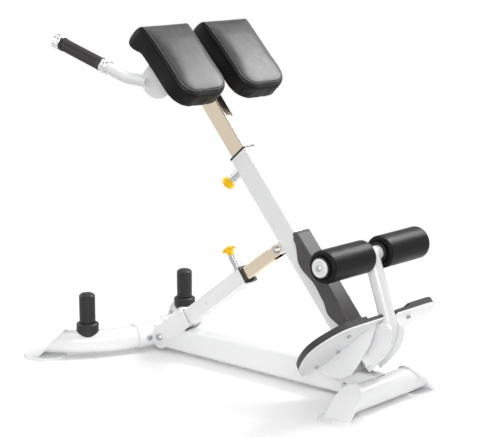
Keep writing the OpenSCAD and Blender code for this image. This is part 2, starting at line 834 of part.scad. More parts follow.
// Foot plate outline: straight rear edge, round corners, long sides that sweep in to a nose
nose_x = -158;
nose_y = 109;
corner_turn = 115;
function foot_half(inset) = let (
    r = plate_corner - inset,
    cx = plate_rear - plate_corner,
    cy = plate_half - plate_corner,
    corner = [for (a = [0:11.5:corner_turn]) [cx + r * cos(a), cy + r * sin(a)]],
    s = [cx + r * cos(corner_turn), cy + r * sin(corner_turn)],
    n = [nose_x + inset, nose_y - inset * 0.5],
    way = corner_turn + 90,
    half_turn = atan2(n[1] - s[1], n[0] - s[0]) + 360 - way,
    sweep = norm(n - s) / sin(half_turn),
    side = [for (f = [0.1:0.1:1])
      s + sweep * sin(half_turn * f) * [cos(way + half_turn * f), sin(way + half_turn * f)]]
  ) concat(corner, side);

module foot_outline(inset) {
  half = foot_half(inset);
  last = len(half) - 1;
  polygon(concat(half, [for (i = [last:-1:0]) [half[i][0], -half[i][1]]]));
}

notch_half = 62;
arm_notch = 33;
arm_notch_deep = 55;
module foot_cutouts(gap) {
  translate([nose_x + 26, 0]) circle(notch_half + gap);
  translate([2 * nose_x, -notch_half - gap]) square([-nose_x + 26, 2 * (notch_half + gap)]);
  square([upright_d + 2 * gap, upright_w + 2 * gap], center = true);
  translate([plate_rear - arm_notch_deep - gap, -arm_notch - gap]) square([plate_rear, 2 * (arm_notch + gap)]);
}

FOOT_BOLTS = [[-96, 100], [-4, 84], [118, 150]];
module foot_plate() {
  color(white) swing_frame() translate([0, 0, plate_z]) difference() {
    linear_extrude(plate_t) difference() {
      foot_outline(0);
      foot_cutouts(seat_gap);
    }
    for (s = SIDES, p = FOOT_BOLTS) translate([p[0], s * p[1], -tiny])
      cylinder(h = plate_t + 2 * tiny, d = 8 + 2 * seat_gap);
  }
}

mat_inset = 2;
lip_w = 22;
lip_from = 105;
module foot_mat() {
  color(black) swing_frame() translate([0, 0, mat_z + seat_gap]) difference() {
    union() {
      linear_extrude(mat_t - seat_gap) difference() {
        foot_outline(mat_inset);
        foot_cutouts(1);
      }
      linear_extrude(mat_lip - plate_t) difference() {
        foot_outline(mat_inset);
        foot_outline(mat_inset + lip_w);
        square([4 * plate_rear, 2 * lip_from], center = true);
      }
    }
    for (s = SIDES, p = FOOT_BOLTS) translate([p[0], s * p[1], -tiny]) cylinder(h = 6, d = 16);
  }
}

module foot_plate_bolts() {
  color(zinc) swing_frame() for (s = SIDES, p = FOOT_BOLTS) translate([p[0], s * p[1], plate_z]) {
    translate([0, 0, -8]) cylinder(h = 8 + plate_t + 3, d = 8);
    translate([0, 0, -7 - seat_gap]) cylinder(h = 7, d = 15, $fn = 6);
    translate([0, 0, plate_t + seat_gap]) cylinder(h = 4, d = 14);
  }
}

// Roller arm, axle and the two rollers that spin on it
cross_tube_d = 46;
axle_d = 25;
cap_d = 56;
cap_t = 7;
core_flange = 3;
core_d = 36;
ring_d = 68;
module roller_arm() {
  bore = arm_d - 2 * tube_wall;
  color(white) swing_frame() {
    difference() {
      arm_lower_run(arm_d, 0);
      arm_lower_run(bore, tiny);
    }
    difference() {
      union() {
        arm_upper_run(arm_d, -seat_gap, arm_upper);
        translate([roller_back, 0, roller_z]) along_y(roller_gap, cross_tube_d);
      }
      arm_upper_run(bore, tiny, arm_upper - cross_tube_d);
      translate([roller_back, 0, roller_z]) along_y(2 * roller_gap, axle_d + 2 * seat_gap);
    }
  }
}

module at_roller() {
  swing_frame() translate([roller_back, 0, roller_z]) children();
}

module roller_axle() {
  color(zinc) at_roller() along_y(roller_span - 2 * cap_t, axle_d);
}

module roller_end_caps() {
  color(white) at_roller() for (s = SIDES) rotate([s * -90, 0, 0])
    translate([0, 0, roller_span / 2 - cap_t + seat_gap]) rotate_extrude() polygon([
      [0, 0], [cap_d / 2, 0], [cap_d / 2, cap_t - 3],
      [cap_d / 2 - 3, cap_t - seat_gap], [0, cap_t - seat_gap]
    ]);
}

module roller_end_bolts() {
  color(zinc) at_roller() for (s = SIDES) rotate([s * -90, 0, 0])
    translate([0, 0, roller_span / 2 + seat_gap]) bolt_head(20, 6);
}

// A roller lies between the cross tube and its end cap
roller_in = roller_gap / 2 + slide_gap;
roller_out = roller_span / 2 - cap_t - slide_gap;
roller_edge = 15;
module roller_cover(side) {
  len = roller_out - roller_in - 2 * core_flange;
  bore = core_d / 2 + seat_gap;
  round = [for (a = [0:15:90]) [roller_r - roller_edge + roller_edge * sin(a), roller_edge * (1 - cos(a))]];
  color(black) at_roller() rotate([side * -90, 0, 0]) translate([0, 0, roller_in + core_flange])
    rotate_extrude() polygon(concat(
      [[bore, 4], [ring_d / 2, 4]], round,
      [for (i = [len(round) - 1:-1:0]) [round[i][0], len - round[i][1]]],
      [[ring_d / 2, len - 4], [bore, len - 4]]
    ));
}

module roller_core(side) {
  len = roller_out - roller_in;
  lip = core_flange + 4 - seat_gap;
  color(dark_grey) at_roller() rotate([side * -90, 0, 0]) translate([0, 0, roller_in]) difference() {
    rotate_extrude() polygon([
      [0, 0], [ring_d / 2 - 1, 0], [ring_d / 2 - 1, lip], [core_d / 2, lip], [core_d / 2, len - lip],
      [ring_d / 2 - 1, len - lip], [ring_d / 2 - 1, len], [0, len]
    ]);
    translate([0, 0, -tiny]) cylinder(h = len + 2 * tiny, d = axle_d + 2 * run_gap);
  }
}

module roller_left() {
  roller_cover(-1);
}

module roller_left_core() {
  roller_core(-1);
}

module roller_right() {
  roller_cover(1);
}

module roller_right_core() {
  roller_core(1);
}

// Carriage: post, cross tube, side plates, flanges and boards
module inner_post() {
  holes = [-4:5];
  color(nickel) swing_frame() difference() {
    translate([0, 0, post_bottom]) box_tube(post_d, post_w, post_len, tube_wall, strut_corner - tube_wall + 1);
    for (k = holes) pin_frame(0, upper_pin_z + k * hole_pitch) cylinder(h = post_d, d = pin_d + 1);
    translate([cross_x, 0, cross_z]) along_y(2 * post_w, cross_d + 2 * seat_gap);
  }
}

module post_cap() {
  plug = 14;
  color(black) swing_frame() translate([0, 0, post_bottom + post_len + seat_gap]) {
    linear_extrude(4) rounded_rect(post_d, post_w, strut_corner - tube_wall + 1);
    translate([0, 0, -plug]) linear_extrude(plug + tiny)
      rounded_rect(post_d - 2 * tube_wall - 2 * seat_gap, post_w - 2 * tube_wall - 2 * seat_gap, 1);
  }
}

cross_half = handle_y - side_plate_t / 2 - seat_gap;
module pad_cross_tube() {
  color(white) swing_frame() translate([cross_x, 0, cross_z]) difference() {
    along_y(2 * cross_half, cross_d);
    along_y(3 * cross_half, cross_d - 2 * tube_wall);
  }
}

// The space in front of the pad flanges, where the carriage's steelwork lies
module behind_pads(side, depth) {
  pad_frame(side) translate([-3 * pad_len - pad_boxing - depth, -pad_w, -pad_len])
    cube([3 * pad_len, 2 * pad_w, pad_len + flange_high]);
}

module handle_side_plates() {
  color(white) for (s = SIDES) intersection() {
    swing_frame() translate([plate_x, s * handle_y, cross_z]) along_y(side_plate_t, 2 * plate_r);
    behind_pads(s, flange_t + seat_gap);
  }
}

flange_low = 70;
flange_high = 200;
flange_in = 95;
flange_out = handle_y + 13;
flange_w = flange_out - flange_in;
screw_d = 6;
PAD_SCREWS = [for (y = [flange_in + 22, handle_y - 22], z = [flange_low + 18, flange_high - 18]) [y, z]];
module pad_flanges() {
  color(white) for (s = SIDES) pad_frame(s) difference() {
    translate([-pad_boxing - flange_t, s * ((flange_in + flange_out) / 2 - pad_y) - flange_w / 2, flange_low])
      cube([flange_t - seat_gap, flange_w, flange_high - flange_low]);
    for (p = PAD_SCREWS) translate([-pad_boxing, s * (p[0] - pad_y), p[1]]) rotate([0, 90, 0])
      cylinder(h = 4 * flange_t, d = screw_d + 0.6, center = true);
  }
}

board_side = 18;
board_low = 34;
board_high = 205;
module board_block(gap) {
  translate([-pad_boxing - (gap > 0 ? tiny : 0), -pad_half + board_side - gap, board_low - gap])
    cube([
      board_t + gap + (gap > 0 ? tiny : 0), pad_w - 2 * board_side + 2 * gap,
      board_high - board_low + 2 * gap
    ]);
}

module pad_boards() {
  color(black) for (s = SIDES) pad_frame(s) difference() {
    board_block(0);
    for (p = PAD_SCREWS) translate([-pad_boxing - tiny, s * (p[0] - pad_y), p[1]]) rotate([0, 90, 0])
      cylinder(h = 9, d = screw_d + 2 * seat_gap);
  }
}

module pad_screws() {
  color(zinc) for (s = SIDES, p = PAD_SCREWS) pad_frame(s)
    translate([-pad_boxing - flange_t - seat_gap, s * (p[0] - pad_y), p[1]]) {
      rotate([0, 90, 0]) cylinder(h = flange_t + 7, d = screw_d);
      rotate([0, -90, 0]) bolt_head(14, 4);
    }
}

// Thigh pad: x out of the sewn front edge, y across, z up its length. The front is crowned, the top
// rolls over to the back, the sides are drawn in between their corners and every edge is rounded.
function smooth(f) = let (c = min(max(f, 0), 1)) c * c * (3 - 2 * c);
function round_end(x, r) = x >= r ? 1 : sqrt(max(1 - pow((r - x) / r, 2), 0));
function edge_inset(e) = e >= pad_edge ? 0 : pad_edge - sqrt(pow(pad_edge, 2) - pow(pad_edge - e, 2));
function pad_depth(z) = pad_boxing + (pad_roll - pad_boxing) * smooth((z / pad_len - 0.73) / 0.2);
// Front (way 1) or back (way -1) of the pad at height f of its length, v across its half width
function pad_point(v, f, way) = let (
    inset = edge_inset(pad_half * (1 - abs(v))),
    z = inset + (pad_len - 2 * inset) * (1 - cos(180 * f)) / 2,
    front = pad_crown * (1 - pow(v, 4)) * smooth(z / 60) - inset,
    back = -pad_depth(z) + inset * 0.4,
    ends = min(round_end(z - inset, pad_end_low), round_end(pad_len - inset - z, pad_end_top)),
    width = pad_half - pad_draw * sin(180 * z / pad_len) - pad_corner * (1 - round_end(z, pad_corner))
  ) [(front + back) / 2 + way * (front - back) / 2 * ends, v * width, z];

pad_rows = 18;
PAD_ACROSS = [-1, -0.985, -0.955, -0.91, -0.85, -0.6, -0.3, 0, 0.3, 0.6, 0.85, 0.91, 0.955, 0.985, 1];
module pad_form() {
  loop = 2 * pad_rows;
  points = [for (v = PAD_ACROSS) each concat(
    [for (i = [0:pad_rows]) pad_point(v, i / pad_rows, 1)],
    [for (i = [pad_rows - 1:-1:1]) pad_point(v, i / pad_rows, -1)]
  )];
  last = (len(PAD_ACROSS) - 1) * loop;
  skin = [for (r = [0:len(PAD_ACROSS) - 2], k = [0:loop - 1]) let (
      p = r * loop + k, q = r * loop + (k + 1) % loop, t = p + loop, u = q + loop
    ) each [[p, u, q], [p, t, u]]];
  sides = [for (k = [0:pad_rows - 1]) let (a = k, b = k + 1, c = (loop - k - 1) % loop, d = (loop - k) % loop)
    each concat(k == 0 ? [] : [[a, d, c]], k == pad_rows - 1 ? [] : [[a, c, b]], [])];
  near = [for (t = sides) [t[0], t[2], t[1]]];
  far = [for (t = sides) [last + t[0], last + t[1], last + t[2]]];
  polyhedron(points, concat(skin, near, far));
}

module thigh_pad(side) {
  color(black) pad_frame(side) difference() {
    pad_form();
    board_block(slide_gap);
  }
}

module thigh_pad_left() {
  thigh_pad(-1);
}

module thigh_pad_right() {
  thigh_pad(1);
}

// Handles: tube from the side plate, collars, grip and end cap
handle_start = 40;
handle_drop = 26;
handle_level = 4;
handle_in = 82;
handle_bend = 160;
handle_mid = 70;
collar_len = 24;
collar_d = 50;
cap_len = 22;
handle_out = handle_mid + 2 * collar_len + grip_len;
handle_turn = grip_slope - handle_level;
plate_at_x = swing_x(plate_x, cross_z);
plate_at_z = swing_z(plate_x, cross_z);
module handle_frame(side) {
  translate([plate_at_x - handle_start, side * handle_y, plate_at_z - handle_drop])
    rotate([0, handle_level - 90, 0]) rotate([0, 0, 180]) children();
}

module grip_frame(side) {
  handle_frame(side) translate([0, 0, handle_in]) after_bend(handle_bend, handle_turn) children();
}

module handle_bent_run(side, d, past) {
  handle_frame(side) {
    translate([0, 0, -past]) cylinder(h = handle_in + past, d = d);
    translate([0, 0, handle_in]) bend(d, handle_bend, handle_turn);
  }
}

module handle_tubes() {
  bore = handle_d - 2 * tube_wall;
  color(white) for (s = SIDES) {
    difference() {
      handle_bent_run(s, handle_d, 0);
      handle_bent_run(s, bore, tiny);
      swing_frame() translate([plate_x, s * handle_y, cross_z])
        along_y(side_plate_t + 2 * seat_gap, 2 * plate_r + 2 * seat_gap);
    }
    grip_frame(s) translate([0, 0, seat_gap]) difference() {
      cylinder(h = handle_out - seat_gap, d = handle_d);
      translate([0, 0, -tiny]) cylinder(h = handle_out + 2 * tiny, d = bore);
    }
  }
}

module handle_grips() {
  flare = 3;
  color(black) for (s = SIDES) grip_frame(s) translate([0, 0, handle_mid + collar_len]) difference() {
    rotate_extrude() polygon([
      [0, seat_gap], [grip_d / 2 + flare / 2, seat_gap], [grip_d / 2 + flare / 2, 10], [grip_d / 2, 16],
      [grip_d / 2, grip_len - 16], [grip_d / 2 + flare / 2, grip_len - 10],
      [grip_d / 2 + flare / 2, grip_len - seat_gap],
      [0, grip_len - seat_gap]
    ]);
    translate([0, 0, -tiny]) cylinder(h = grip_len + 2 * tiny, d = handle_d + 2 * seat_gap);
  }
}

module grip_collars() {
  color(chrome) for (s = SIDES, z = [handle_mid, handle_mid + collar_len + grip_len])
    grip_frame(s) translate([0, 0, z]) difference() {
      rotate_extrude() polygon([
        [0, 0], [collar_d / 2 - 2, 0], [collar_d / 2, 2], [collar_d / 2, 9], [collar_d / 2 - 2, 11],
        [collar_d / 2 - 2, 13], [collar_d / 2, 15], [collar_d / 2, 22],
        [collar_d / 2 - 2, collar_len], [0, collar_len]
      ]);
      translate([0, 0, -tiny]) cylinder(h = collar_len + 2 * tiny, d = handle_d + 2 * seat_gap);
    }
}

module grip_end_caps() {
  plug = 16;
  dome = [for (a = [0:15:90]) [collar_d / 2 * cos(a), 4 + (cap_len - 12) * sin(a)]];
  color(chrome) for (s = SIDES) grip_frame(s) translate([0, 0, handle_out + seat_gap]) {
    rotate_extrude() polygon(concat([[0, 0], [collar_d / 2, 0]], dome));
    translate([0, 0, -plug]) cylinder(h = plug + tiny, d = handle_d - 2 * tube_wall - 2 * seat_gap);
  }
}

front_stabilizer();
front_end_plates();
front_foot_discs();
band_pegs();
peg_collars();
base_spine();
saddle_bracket();
saddle_bolts();
rear_stabilizer();
rear_end_plates();
rear_foot_discs();
hinge_lug();
hinge_pin();
spine_bolts();
strut_pivot_bolt();
strut_outer_tube();
strut_collar();
lower_pin_barrel();
lower_pin_plunger();
lower_pin_spring();
lower_pin_knob();
strut_inner_tube();
upright_tube();
upright_lug();
clevis_bolt();
upright_bushing();
upper_pin_barrel();
upper_pin_plunger();
upper_pin_spring();
upper_pin_knob();
pivot_yoke();
pivot_bushes();
pivot_covers();
foot_plate();
foot_mat();
foot_plate_bolts();
shin_guard();
roller_arm();
roller_axle();
roller_end_caps();
roller_end_bolts();
roller_left();
roller_left_core();
roller_right();
roller_right_core();
inner_post();
post_cap();
pad_cross_tube();
handle_side_plates();
pad_flanges();
pad_boards();
pad_screws();
thigh_pad_left();
thigh_pad_right();
handle_tubes();
handle_grips();
grip_collars();
grip_end_caps();
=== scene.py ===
"""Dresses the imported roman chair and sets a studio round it.

It adds the finishes, sewn thigh pads, pleated rollers, ridged pegs, springs and weld beads.
"""

import json
import logging
import math
import random
from dataclasses import dataclass, field
from enum import Enum
from typing import Iterable, Sequence

import bmesh
import bpy
import numpy as np
from bmesh.types import BMesh
from bpy.types import ID, Material, Mesh, NodeSocket, Object
from mathutils import Matrix, Vector, noise
from mathutils.bvhtree import BVHTree
from mathutils.kdtree import KDTree


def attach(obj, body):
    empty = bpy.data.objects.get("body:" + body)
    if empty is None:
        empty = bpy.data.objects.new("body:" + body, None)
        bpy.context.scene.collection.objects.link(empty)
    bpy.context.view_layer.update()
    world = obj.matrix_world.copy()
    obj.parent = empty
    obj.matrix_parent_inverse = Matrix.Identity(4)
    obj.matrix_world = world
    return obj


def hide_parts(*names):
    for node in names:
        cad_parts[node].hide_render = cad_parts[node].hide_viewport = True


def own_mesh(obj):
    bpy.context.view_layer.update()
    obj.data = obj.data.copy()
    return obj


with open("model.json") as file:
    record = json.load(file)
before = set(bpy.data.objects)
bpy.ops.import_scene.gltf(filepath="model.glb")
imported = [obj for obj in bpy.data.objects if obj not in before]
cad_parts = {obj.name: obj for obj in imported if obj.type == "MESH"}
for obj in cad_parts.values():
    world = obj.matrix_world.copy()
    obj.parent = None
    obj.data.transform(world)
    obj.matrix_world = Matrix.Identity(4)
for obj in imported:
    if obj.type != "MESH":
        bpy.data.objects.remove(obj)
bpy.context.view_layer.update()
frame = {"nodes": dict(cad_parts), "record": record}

LOG = logging.getLogger("roman_chair")
MM = 0.001
MERGE = 1e-6
CREASE = 35.0
BEAD_CREASE = 60.0
SOFT_CREASE = 80.0
WELD_STEP = 0.0025
WELD_RIPPLE = 0.16
WELD_R = 0.0021
STITCH_STEP = 0.0062
POLISH = "polish"
Point = tuple[float, float, float]


class Side(Enum):
    """The two sides of the bench, with the sign of Y on each."""

    LEFT = -1
    RIGHT = 1


class Body(Enum):
    """The CAD bodies that pieces ride on."""

    BASE = "base"
    SLEEVE = "strut_sleeve"
    SWING = "swing_frame"
    CARRIAGE = "carriage"
    LEFT_ROLLER = "left_roller"
    RIGHT_ROLLER = "right_roller"


class Slot(Enum):
    """The record's material slots."""

    WHITE = "white_coat"
    WHITE_PLASTIC = "white_plastic"
    ZINC = "zinc"
    NICKEL = "nickel"
    CHROME = "chrome"
    VINYL = "vinyl"
    MAT = "mat_rubber"
    GRIP = "grip_rubber"
    PEG = "peg_plastic"
    BLACK = "black_plastic"
    GUARD = "guard_plastic"
    YELLOW = "yellow_plastic"


class Sock:
    """A shader socket that adds Math nodes when it is used in an expression."""

    def __init__(self, graph: "Graph", socket: NodeSocket) -> None:
        """Wraps one output socket.

        Args:
            graph: the material graph that new nodes go into.
            socket: the output socket.
        """
        self.graph = graph
        self.socket = socket

    def _math(self, operation: str, *values: "Sock | float") -> "Sock":
        """Adds one Math node.

        Args:
            operation: the node's operation.
            values: its inputs, in order.

        Returns:
            The node's value.
        """
        inputs = dict(enumerate(values))
        return self.graph.node("Math", {"operation": operation}, inputs)

    def __add__(self, other: "Sock | float") -> "Sock":
        """Sum."""
        return self._math("ADD", self, other)

    def __radd__(self, other: float) -> "Sock":
        """Sum, number first."""
        return self._math("ADD", other, self)

    def __sub__(self, other: "Sock | float") -> "Sock":
        """Difference."""
        return self._math("SUBTRACT", self, other)

    def __rsub__(self, other: float) -> "Sock":
        """Difference, number first."""
        return self._math("SUBTRACT", other, self)

    def __mul__(self, other: "Sock | float") -> "Sock":
        """Product."""
        return self._math("MULTIPLY", self, other)

    def __rmul__(self, other: float) -> "Sock":
        """Product, number first."""
        return self._math("MULTIPLY", other, self)

    def __pow__(self, other: float) -> "Sock":
        """Power."""
        return self._math("POWER", self, other)

    def clamped(self) -> "Sock":
        """The value held between 0 and 1."""
        return self._math("MINIMUM", self._math("MAXIMUM", self, 0.0), 1.0)


class Graph:
    """One material's node tree with a Principled shader at its end."""

    def __init__(self, name: str) -> None:
        """Makes an empty material.

        Args:
            name: the material's name.
        """
        self.material = bpy.data.materials.new(name)
        self.material.use_nodes = True
        self.tree = self.material.node_tree
        self.tree.nodes.clear()
        self.out = self.tree.nodes.new("ShaderNodeOutputMaterial")
        self.shader = self.tree.nodes.new("ShaderNodeBsdfPrincipled")
        self.tree.links.new(self.shader.outputs["BSDF"], self.out.inputs["Surface"])
        self.coords: Sock | None = None

    def node(self, kind: str, settings: dict, inputs: dict, output: int | str = 0) -> Sock:
        """Adds any node.

        Args:
            kind: the node's type, without ShaderNode.
            settings: its properties.
            inputs: values or links by socket name or number.
            output: the output wanted.

        Returns:
            The wrapped output.
        """
        made = self.tree.nodes.new(f"ShaderNode{kind}")
        for key, value in settings.items():
            setattr(made, key, value)
        for key, value in inputs.items():
            self.feed(made.inputs[key], value)
        return Sock(self, made.outputs[output])

    def feed(self, socket: NodeSocket, value: "Sock | float | Sequence[float]") -> None:
        """Links or sets one input socket.

        Args:
            socket: the input.
            value: a wrapped output, a number or a tuple.
        """
        if isinstance(value, Sock):
            self.tree.links.new(value.socket, socket)
        else:
            socket.default_value = value

    def put(self, **inputs: "Sock | float | Sequence[float]") -> None:
        """Sets the Principled shader's sockets, with _ for a space.

        Args:
            inputs: socket values by name.
        """
        for key, value in inputs.items():
            self.feed(self.shader.inputs[key.replace("_", " ")], value)

    def place(self) -> Sock:
        """Object coordinates, made once.

        Returns:
            The coordinates.
        """
        if self.coords is None:
            self.coords = self.node("TexCoord", {}, {}, "Object")
        return self.coords

    def turned(self, scale: Point, turn: float = 0.0) -> Sock:
        """Object coordinates stretched and turned about Y.

        Args:
            scale: the stretch along each axis.
            turn: the turn about Y, in radians.

        Returns:
            The mapped vector.
        """
        mapped = {"Vector": self.place(), "Rotation": (0.0, turn, 0.0)}
        turned = self.node("Mapping", {}, mapped)
        return self.node("Mapping", {}, {"Vector": turned, "Scale": scale})

    def speckle(
        self, scale: float, detail: float = 2.0, rough: float = 0.5, where: Sock | None = None
    ) -> Sock:
        """Noise between 0 and 1.

        Args:
            scale: cells per metre.
            detail: octaves.
            rough: how strong the fine octaves are.
            where: the coordinates, Object ones if left out.

        Returns:
            The noise value.
        """
        inputs = {"Vector": where or self.place(), "Scale": scale, "Detail": detail, "Roughness": rough}
        return self.node("TexNoise", {}, inputs, 0)

    def pebble(self, scale: float, feature: str = "F1") -> Sock:
        """Distance in a Voronoi pattern.

        Args:
            scale: cells per metre.
            feature: which distance.

        Returns:
            The distance value.
        """
        inputs = {"Vector": self.place(), "Scale": scale}
        return self.node("TexVoronoi", {"feature": feature}, inputs, "Distance")

    def painted(self, name: str) -> Sock:
        """A value that the piece's points carry, 0 where it has none."""
        return self.node("Attribute", {"attribute_name": name}, {}, "Fac")

    def tint(self, factor: Sock, low: Point, high: Point) -> Sock:
        """A colour between two colours.

        Args:
            factor: 0 to 1.
            low: the colour at 0.
            high: the colour at 1.

        Returns:
            The mixed colour.
        """
        inputs = {0: factor, 6: (*low, 1.0), 7: (*high, 1.0)}
        return self.node("Mix", {"data_type": "RGBA"}, inputs, 2)

    def fade(self, amount: Sock) -> None:
        """Lets the surface vanish.

        Args:
            amount: 0 where it shows, 1 where it has gone.
        """
        clear = self.node("BsdfTransparent", {}, {})
        solid = Sock(self, self.shader.outputs["BSDF"])
        mixed = self.node("MixShader", {}, {0: amount, 1: solid, 2: clear})
        self.feed(self.out.inputs["Surface"], mixed)

    def relief(self, height: Sock, depth: float, strength: float = 1.0) -> Sock:
        """A bump normal.

        Args:
            height: the height pattern.
            depth: the height in metres at a pattern value of 1.
            strength: the bump's strength.

        Returns:
            The normal.
        """
        inputs = {"Strength": strength, "Distance": depth, "Height": height}
        return self.node("Bump", {}, inputs)


@dataclass(frozen=True)
class Finish:
    """A named finish, which each kind paints in its own way."""

    name: str

    def build(self) -> Material:
        """Builds the material.

        Returns:
            The material.
        """
        g = Graph(self.name)
        self.paint(g)
        return g.material


@dataclass(frozen=True)
class PowderCoat(Finish):
    """White gloss powder coat with orange peel, faint shade drift and dust in the gloss."""

    light: Point = (0.865, 0.868, 0.875)
    dull: Point = (0.825, 0.825, 0.828)
    rough: float = 0.24

    def paint(self, g: Graph) -> None:
        """Mixes the coat.

        Args:
            g: the material's graph.
        """
        drift = g.speckle(5.0, 4.0, 0.6)
        dust = g.speckle(60.0, 3.0, 0.65)
        peel = g.speckle(420.0, 2.0, 0.45)
        grain = g.speckle(1500.0, 1.0, 0.5)
        shade = (drift * 1.2 - 0.35 + (dust - 0.5) * 0.15).clamped()
        g.put(
            Base_Color=g.tint(shade, self.light, self.dull),
            Roughness=self.rough + (dust - 0.4) * 0.1,
            Coat_Weight=0.35,
            Coat_Roughness=0.16,
            Normal=g.relief(peel * 0.75 + grain * 0.25, 0.00004, 0.2),
        )


@dataclass(frozen=True)
class Plating(Finish):
    """Plated steel: drawn lines, soft smudges and a little colour."""

    tone: Point
    shade: Point
    rough: float
    lines: Point = (40.0, 40.0, 40.0)
    turn: float = 0.0
    line_depth: float = 0.000008

    def paint(self, g: Graph) -> None:
        """Mixes the plating.

        Args:
            g: the material's graph.
        """
        smudge = g.speckle(28.0, 4.0, 0.6)
        drawn = g.speckle(30.0, 3.0, 0.6, g.turned(self.lines, self.turn))
        mix = (smudge * 0.7 + drawn * 0.5 - 0.1).clamped()
        g.put(
            Base_Color=g.tint(mix, self.tone, self.shade),
            Metallic=1.0,
            Roughness=self.rough + (smudge - 0.4) * 0.14 + (drawn - 0.5) * 0.08,
            Normal=g.relief(drawn, self.line_depth, 0.4),
        )


@dataclass(frozen=True)
class Vinyl(Finish):
    """Black upholstery vinyl: pebble grain, hair creases and a face that use has polished."""

    tone: Point = (0.0042, 0.0039, 0.0039)
    worn: Point = (0.0095, 0.0088, 0.0088)
    rough: float = 0.4
    grain: float = 620.0

    def paint(self, g: Graph) -> None:
        """Mixes the vinyl.

        Args:
            g: the material's graph.
        """
        pebble = g.pebble(self.grain)
        edge = g.pebble(self.grain * 0.55, "DISTANCE_TO_EDGE")
        crease = g.speckle(34.0, 6.0, 0.72)
        rub = g.speckle(9.0, 3.0, 0.55)
        height = (1.0 - pebble) * 0.6 + (edge * 5.0).clamped() * 0.25 + crease * 0.5
        g.put(
            Base_Color=g.tint((rub * 1.3 - 0.3 + (crease - 0.5) * 0.4).clamped(), self.tone, self.worn),
            Roughness=self.rough + (pebble - 0.4) * 0.1 + (rub - 0.5) * 0.14,
            Specular_IOR_Level=0.15,
            Coat_Weight=g.painted(POLISH) * (0.82 + (crease - 0.5) * 0.9),
            Coat_Roughness=0.48,
            Normal=g.relief(height, 0.0003, 0.25),
        )


@dataclass(frozen=True)
class Thread(Finish):
    """Grey sewing thread with twisted plies."""

    tone: Point = (0.30, 0.29, 0.29)
    fuzz: Point = (0.44, 0.43, 0.43)

    def paint(self, g: Graph) -> None:
        """Mixes the thread.

        Args:
            g: the material's graph.
        """
        ply = g.speckle(1800.0, 2.0, 0.6)
        g.put(
            Base_Color=g.tint(ply, self.tone, self.fuzz),
            Roughness=0.6 + (ply - 0.5) * 0.2,
            Normal=g.relief(ply, 0.0001, 0.4),
        )


@dataclass(frozen=True)
class Moulding(Finish):
    """Moulded plastic or rubber with a spark-eroded skin and faint handling marks."""

    tone: Point
    marked: Point
    rough: float
    grain: float = 900.0
    depth: float = 0.0002
    shine: float = 0.5

    def paint(self, g: Graph) -> None:
        """Mixes the moulding.

        Args:
            g: the material's graph.
        """
        skin = g.speckle(self.grain, 3.0, 0.6)
        pits = g.pebble(self.grain * 0.8)
        marks = g.speckle(24.0, 5.0, 0.65)
        g.put(
            Base_Color=g.tint((marks * 1.6 - 0.6 + (skin - 0.5) * 0.3).clamped(), self.tone, self.marked),
            Roughness=self.rough + (marks - 0.5) * 0.16 + (skin - 0.5) * 0.1,
            Specular_IOR_Level=self.shine,
            Normal=g.relief(skin * 0.7 + pits * 0.4, self.depth, 0.4),
        )


@dataclass(frozen=True)
class Tread(Finish):
    """Mat rubber with a moulded anti-slip rib pattern across the plate."""

    tone: Point = (0.03, 0.0295, 0.03)
    chalk: Point = (0.07, 0.068, 0.067)
    pitch: float = 0.006
    turn: float = 0.705

    def paint(self, g: Graph) -> None:
        """Mixes the rubber.

        Args:
            g: the material's graph.
        """
        lay = g.turned((1.0, 1.0, 1.0), self.turn)
        wave = {"wave_type": "BANDS", "bands_direction": "Y", "wave_profile": "SIN"}
        ribs = g.node("TexWave", wave, {"Vector": lay, "Scale": 0.314 / self.pitch}, "Fac")
        skin = g.speckle(800.0, 3.0, 0.6)
        scuff = g.speckle(18.0, 5.0, 0.7)
        g.put(
            Base_Color=g.tint((scuff * 1.7 - 0.65 + ribs * 0.12).clamped(), self.tone, self.chalk),
            Roughness=0.66 + (scuff - 0.5) * 0.2,
            Normal=g.relief((ribs ** 0.5) * 0.8 + skin * 0.12, 0.0006, 0.5),
        )


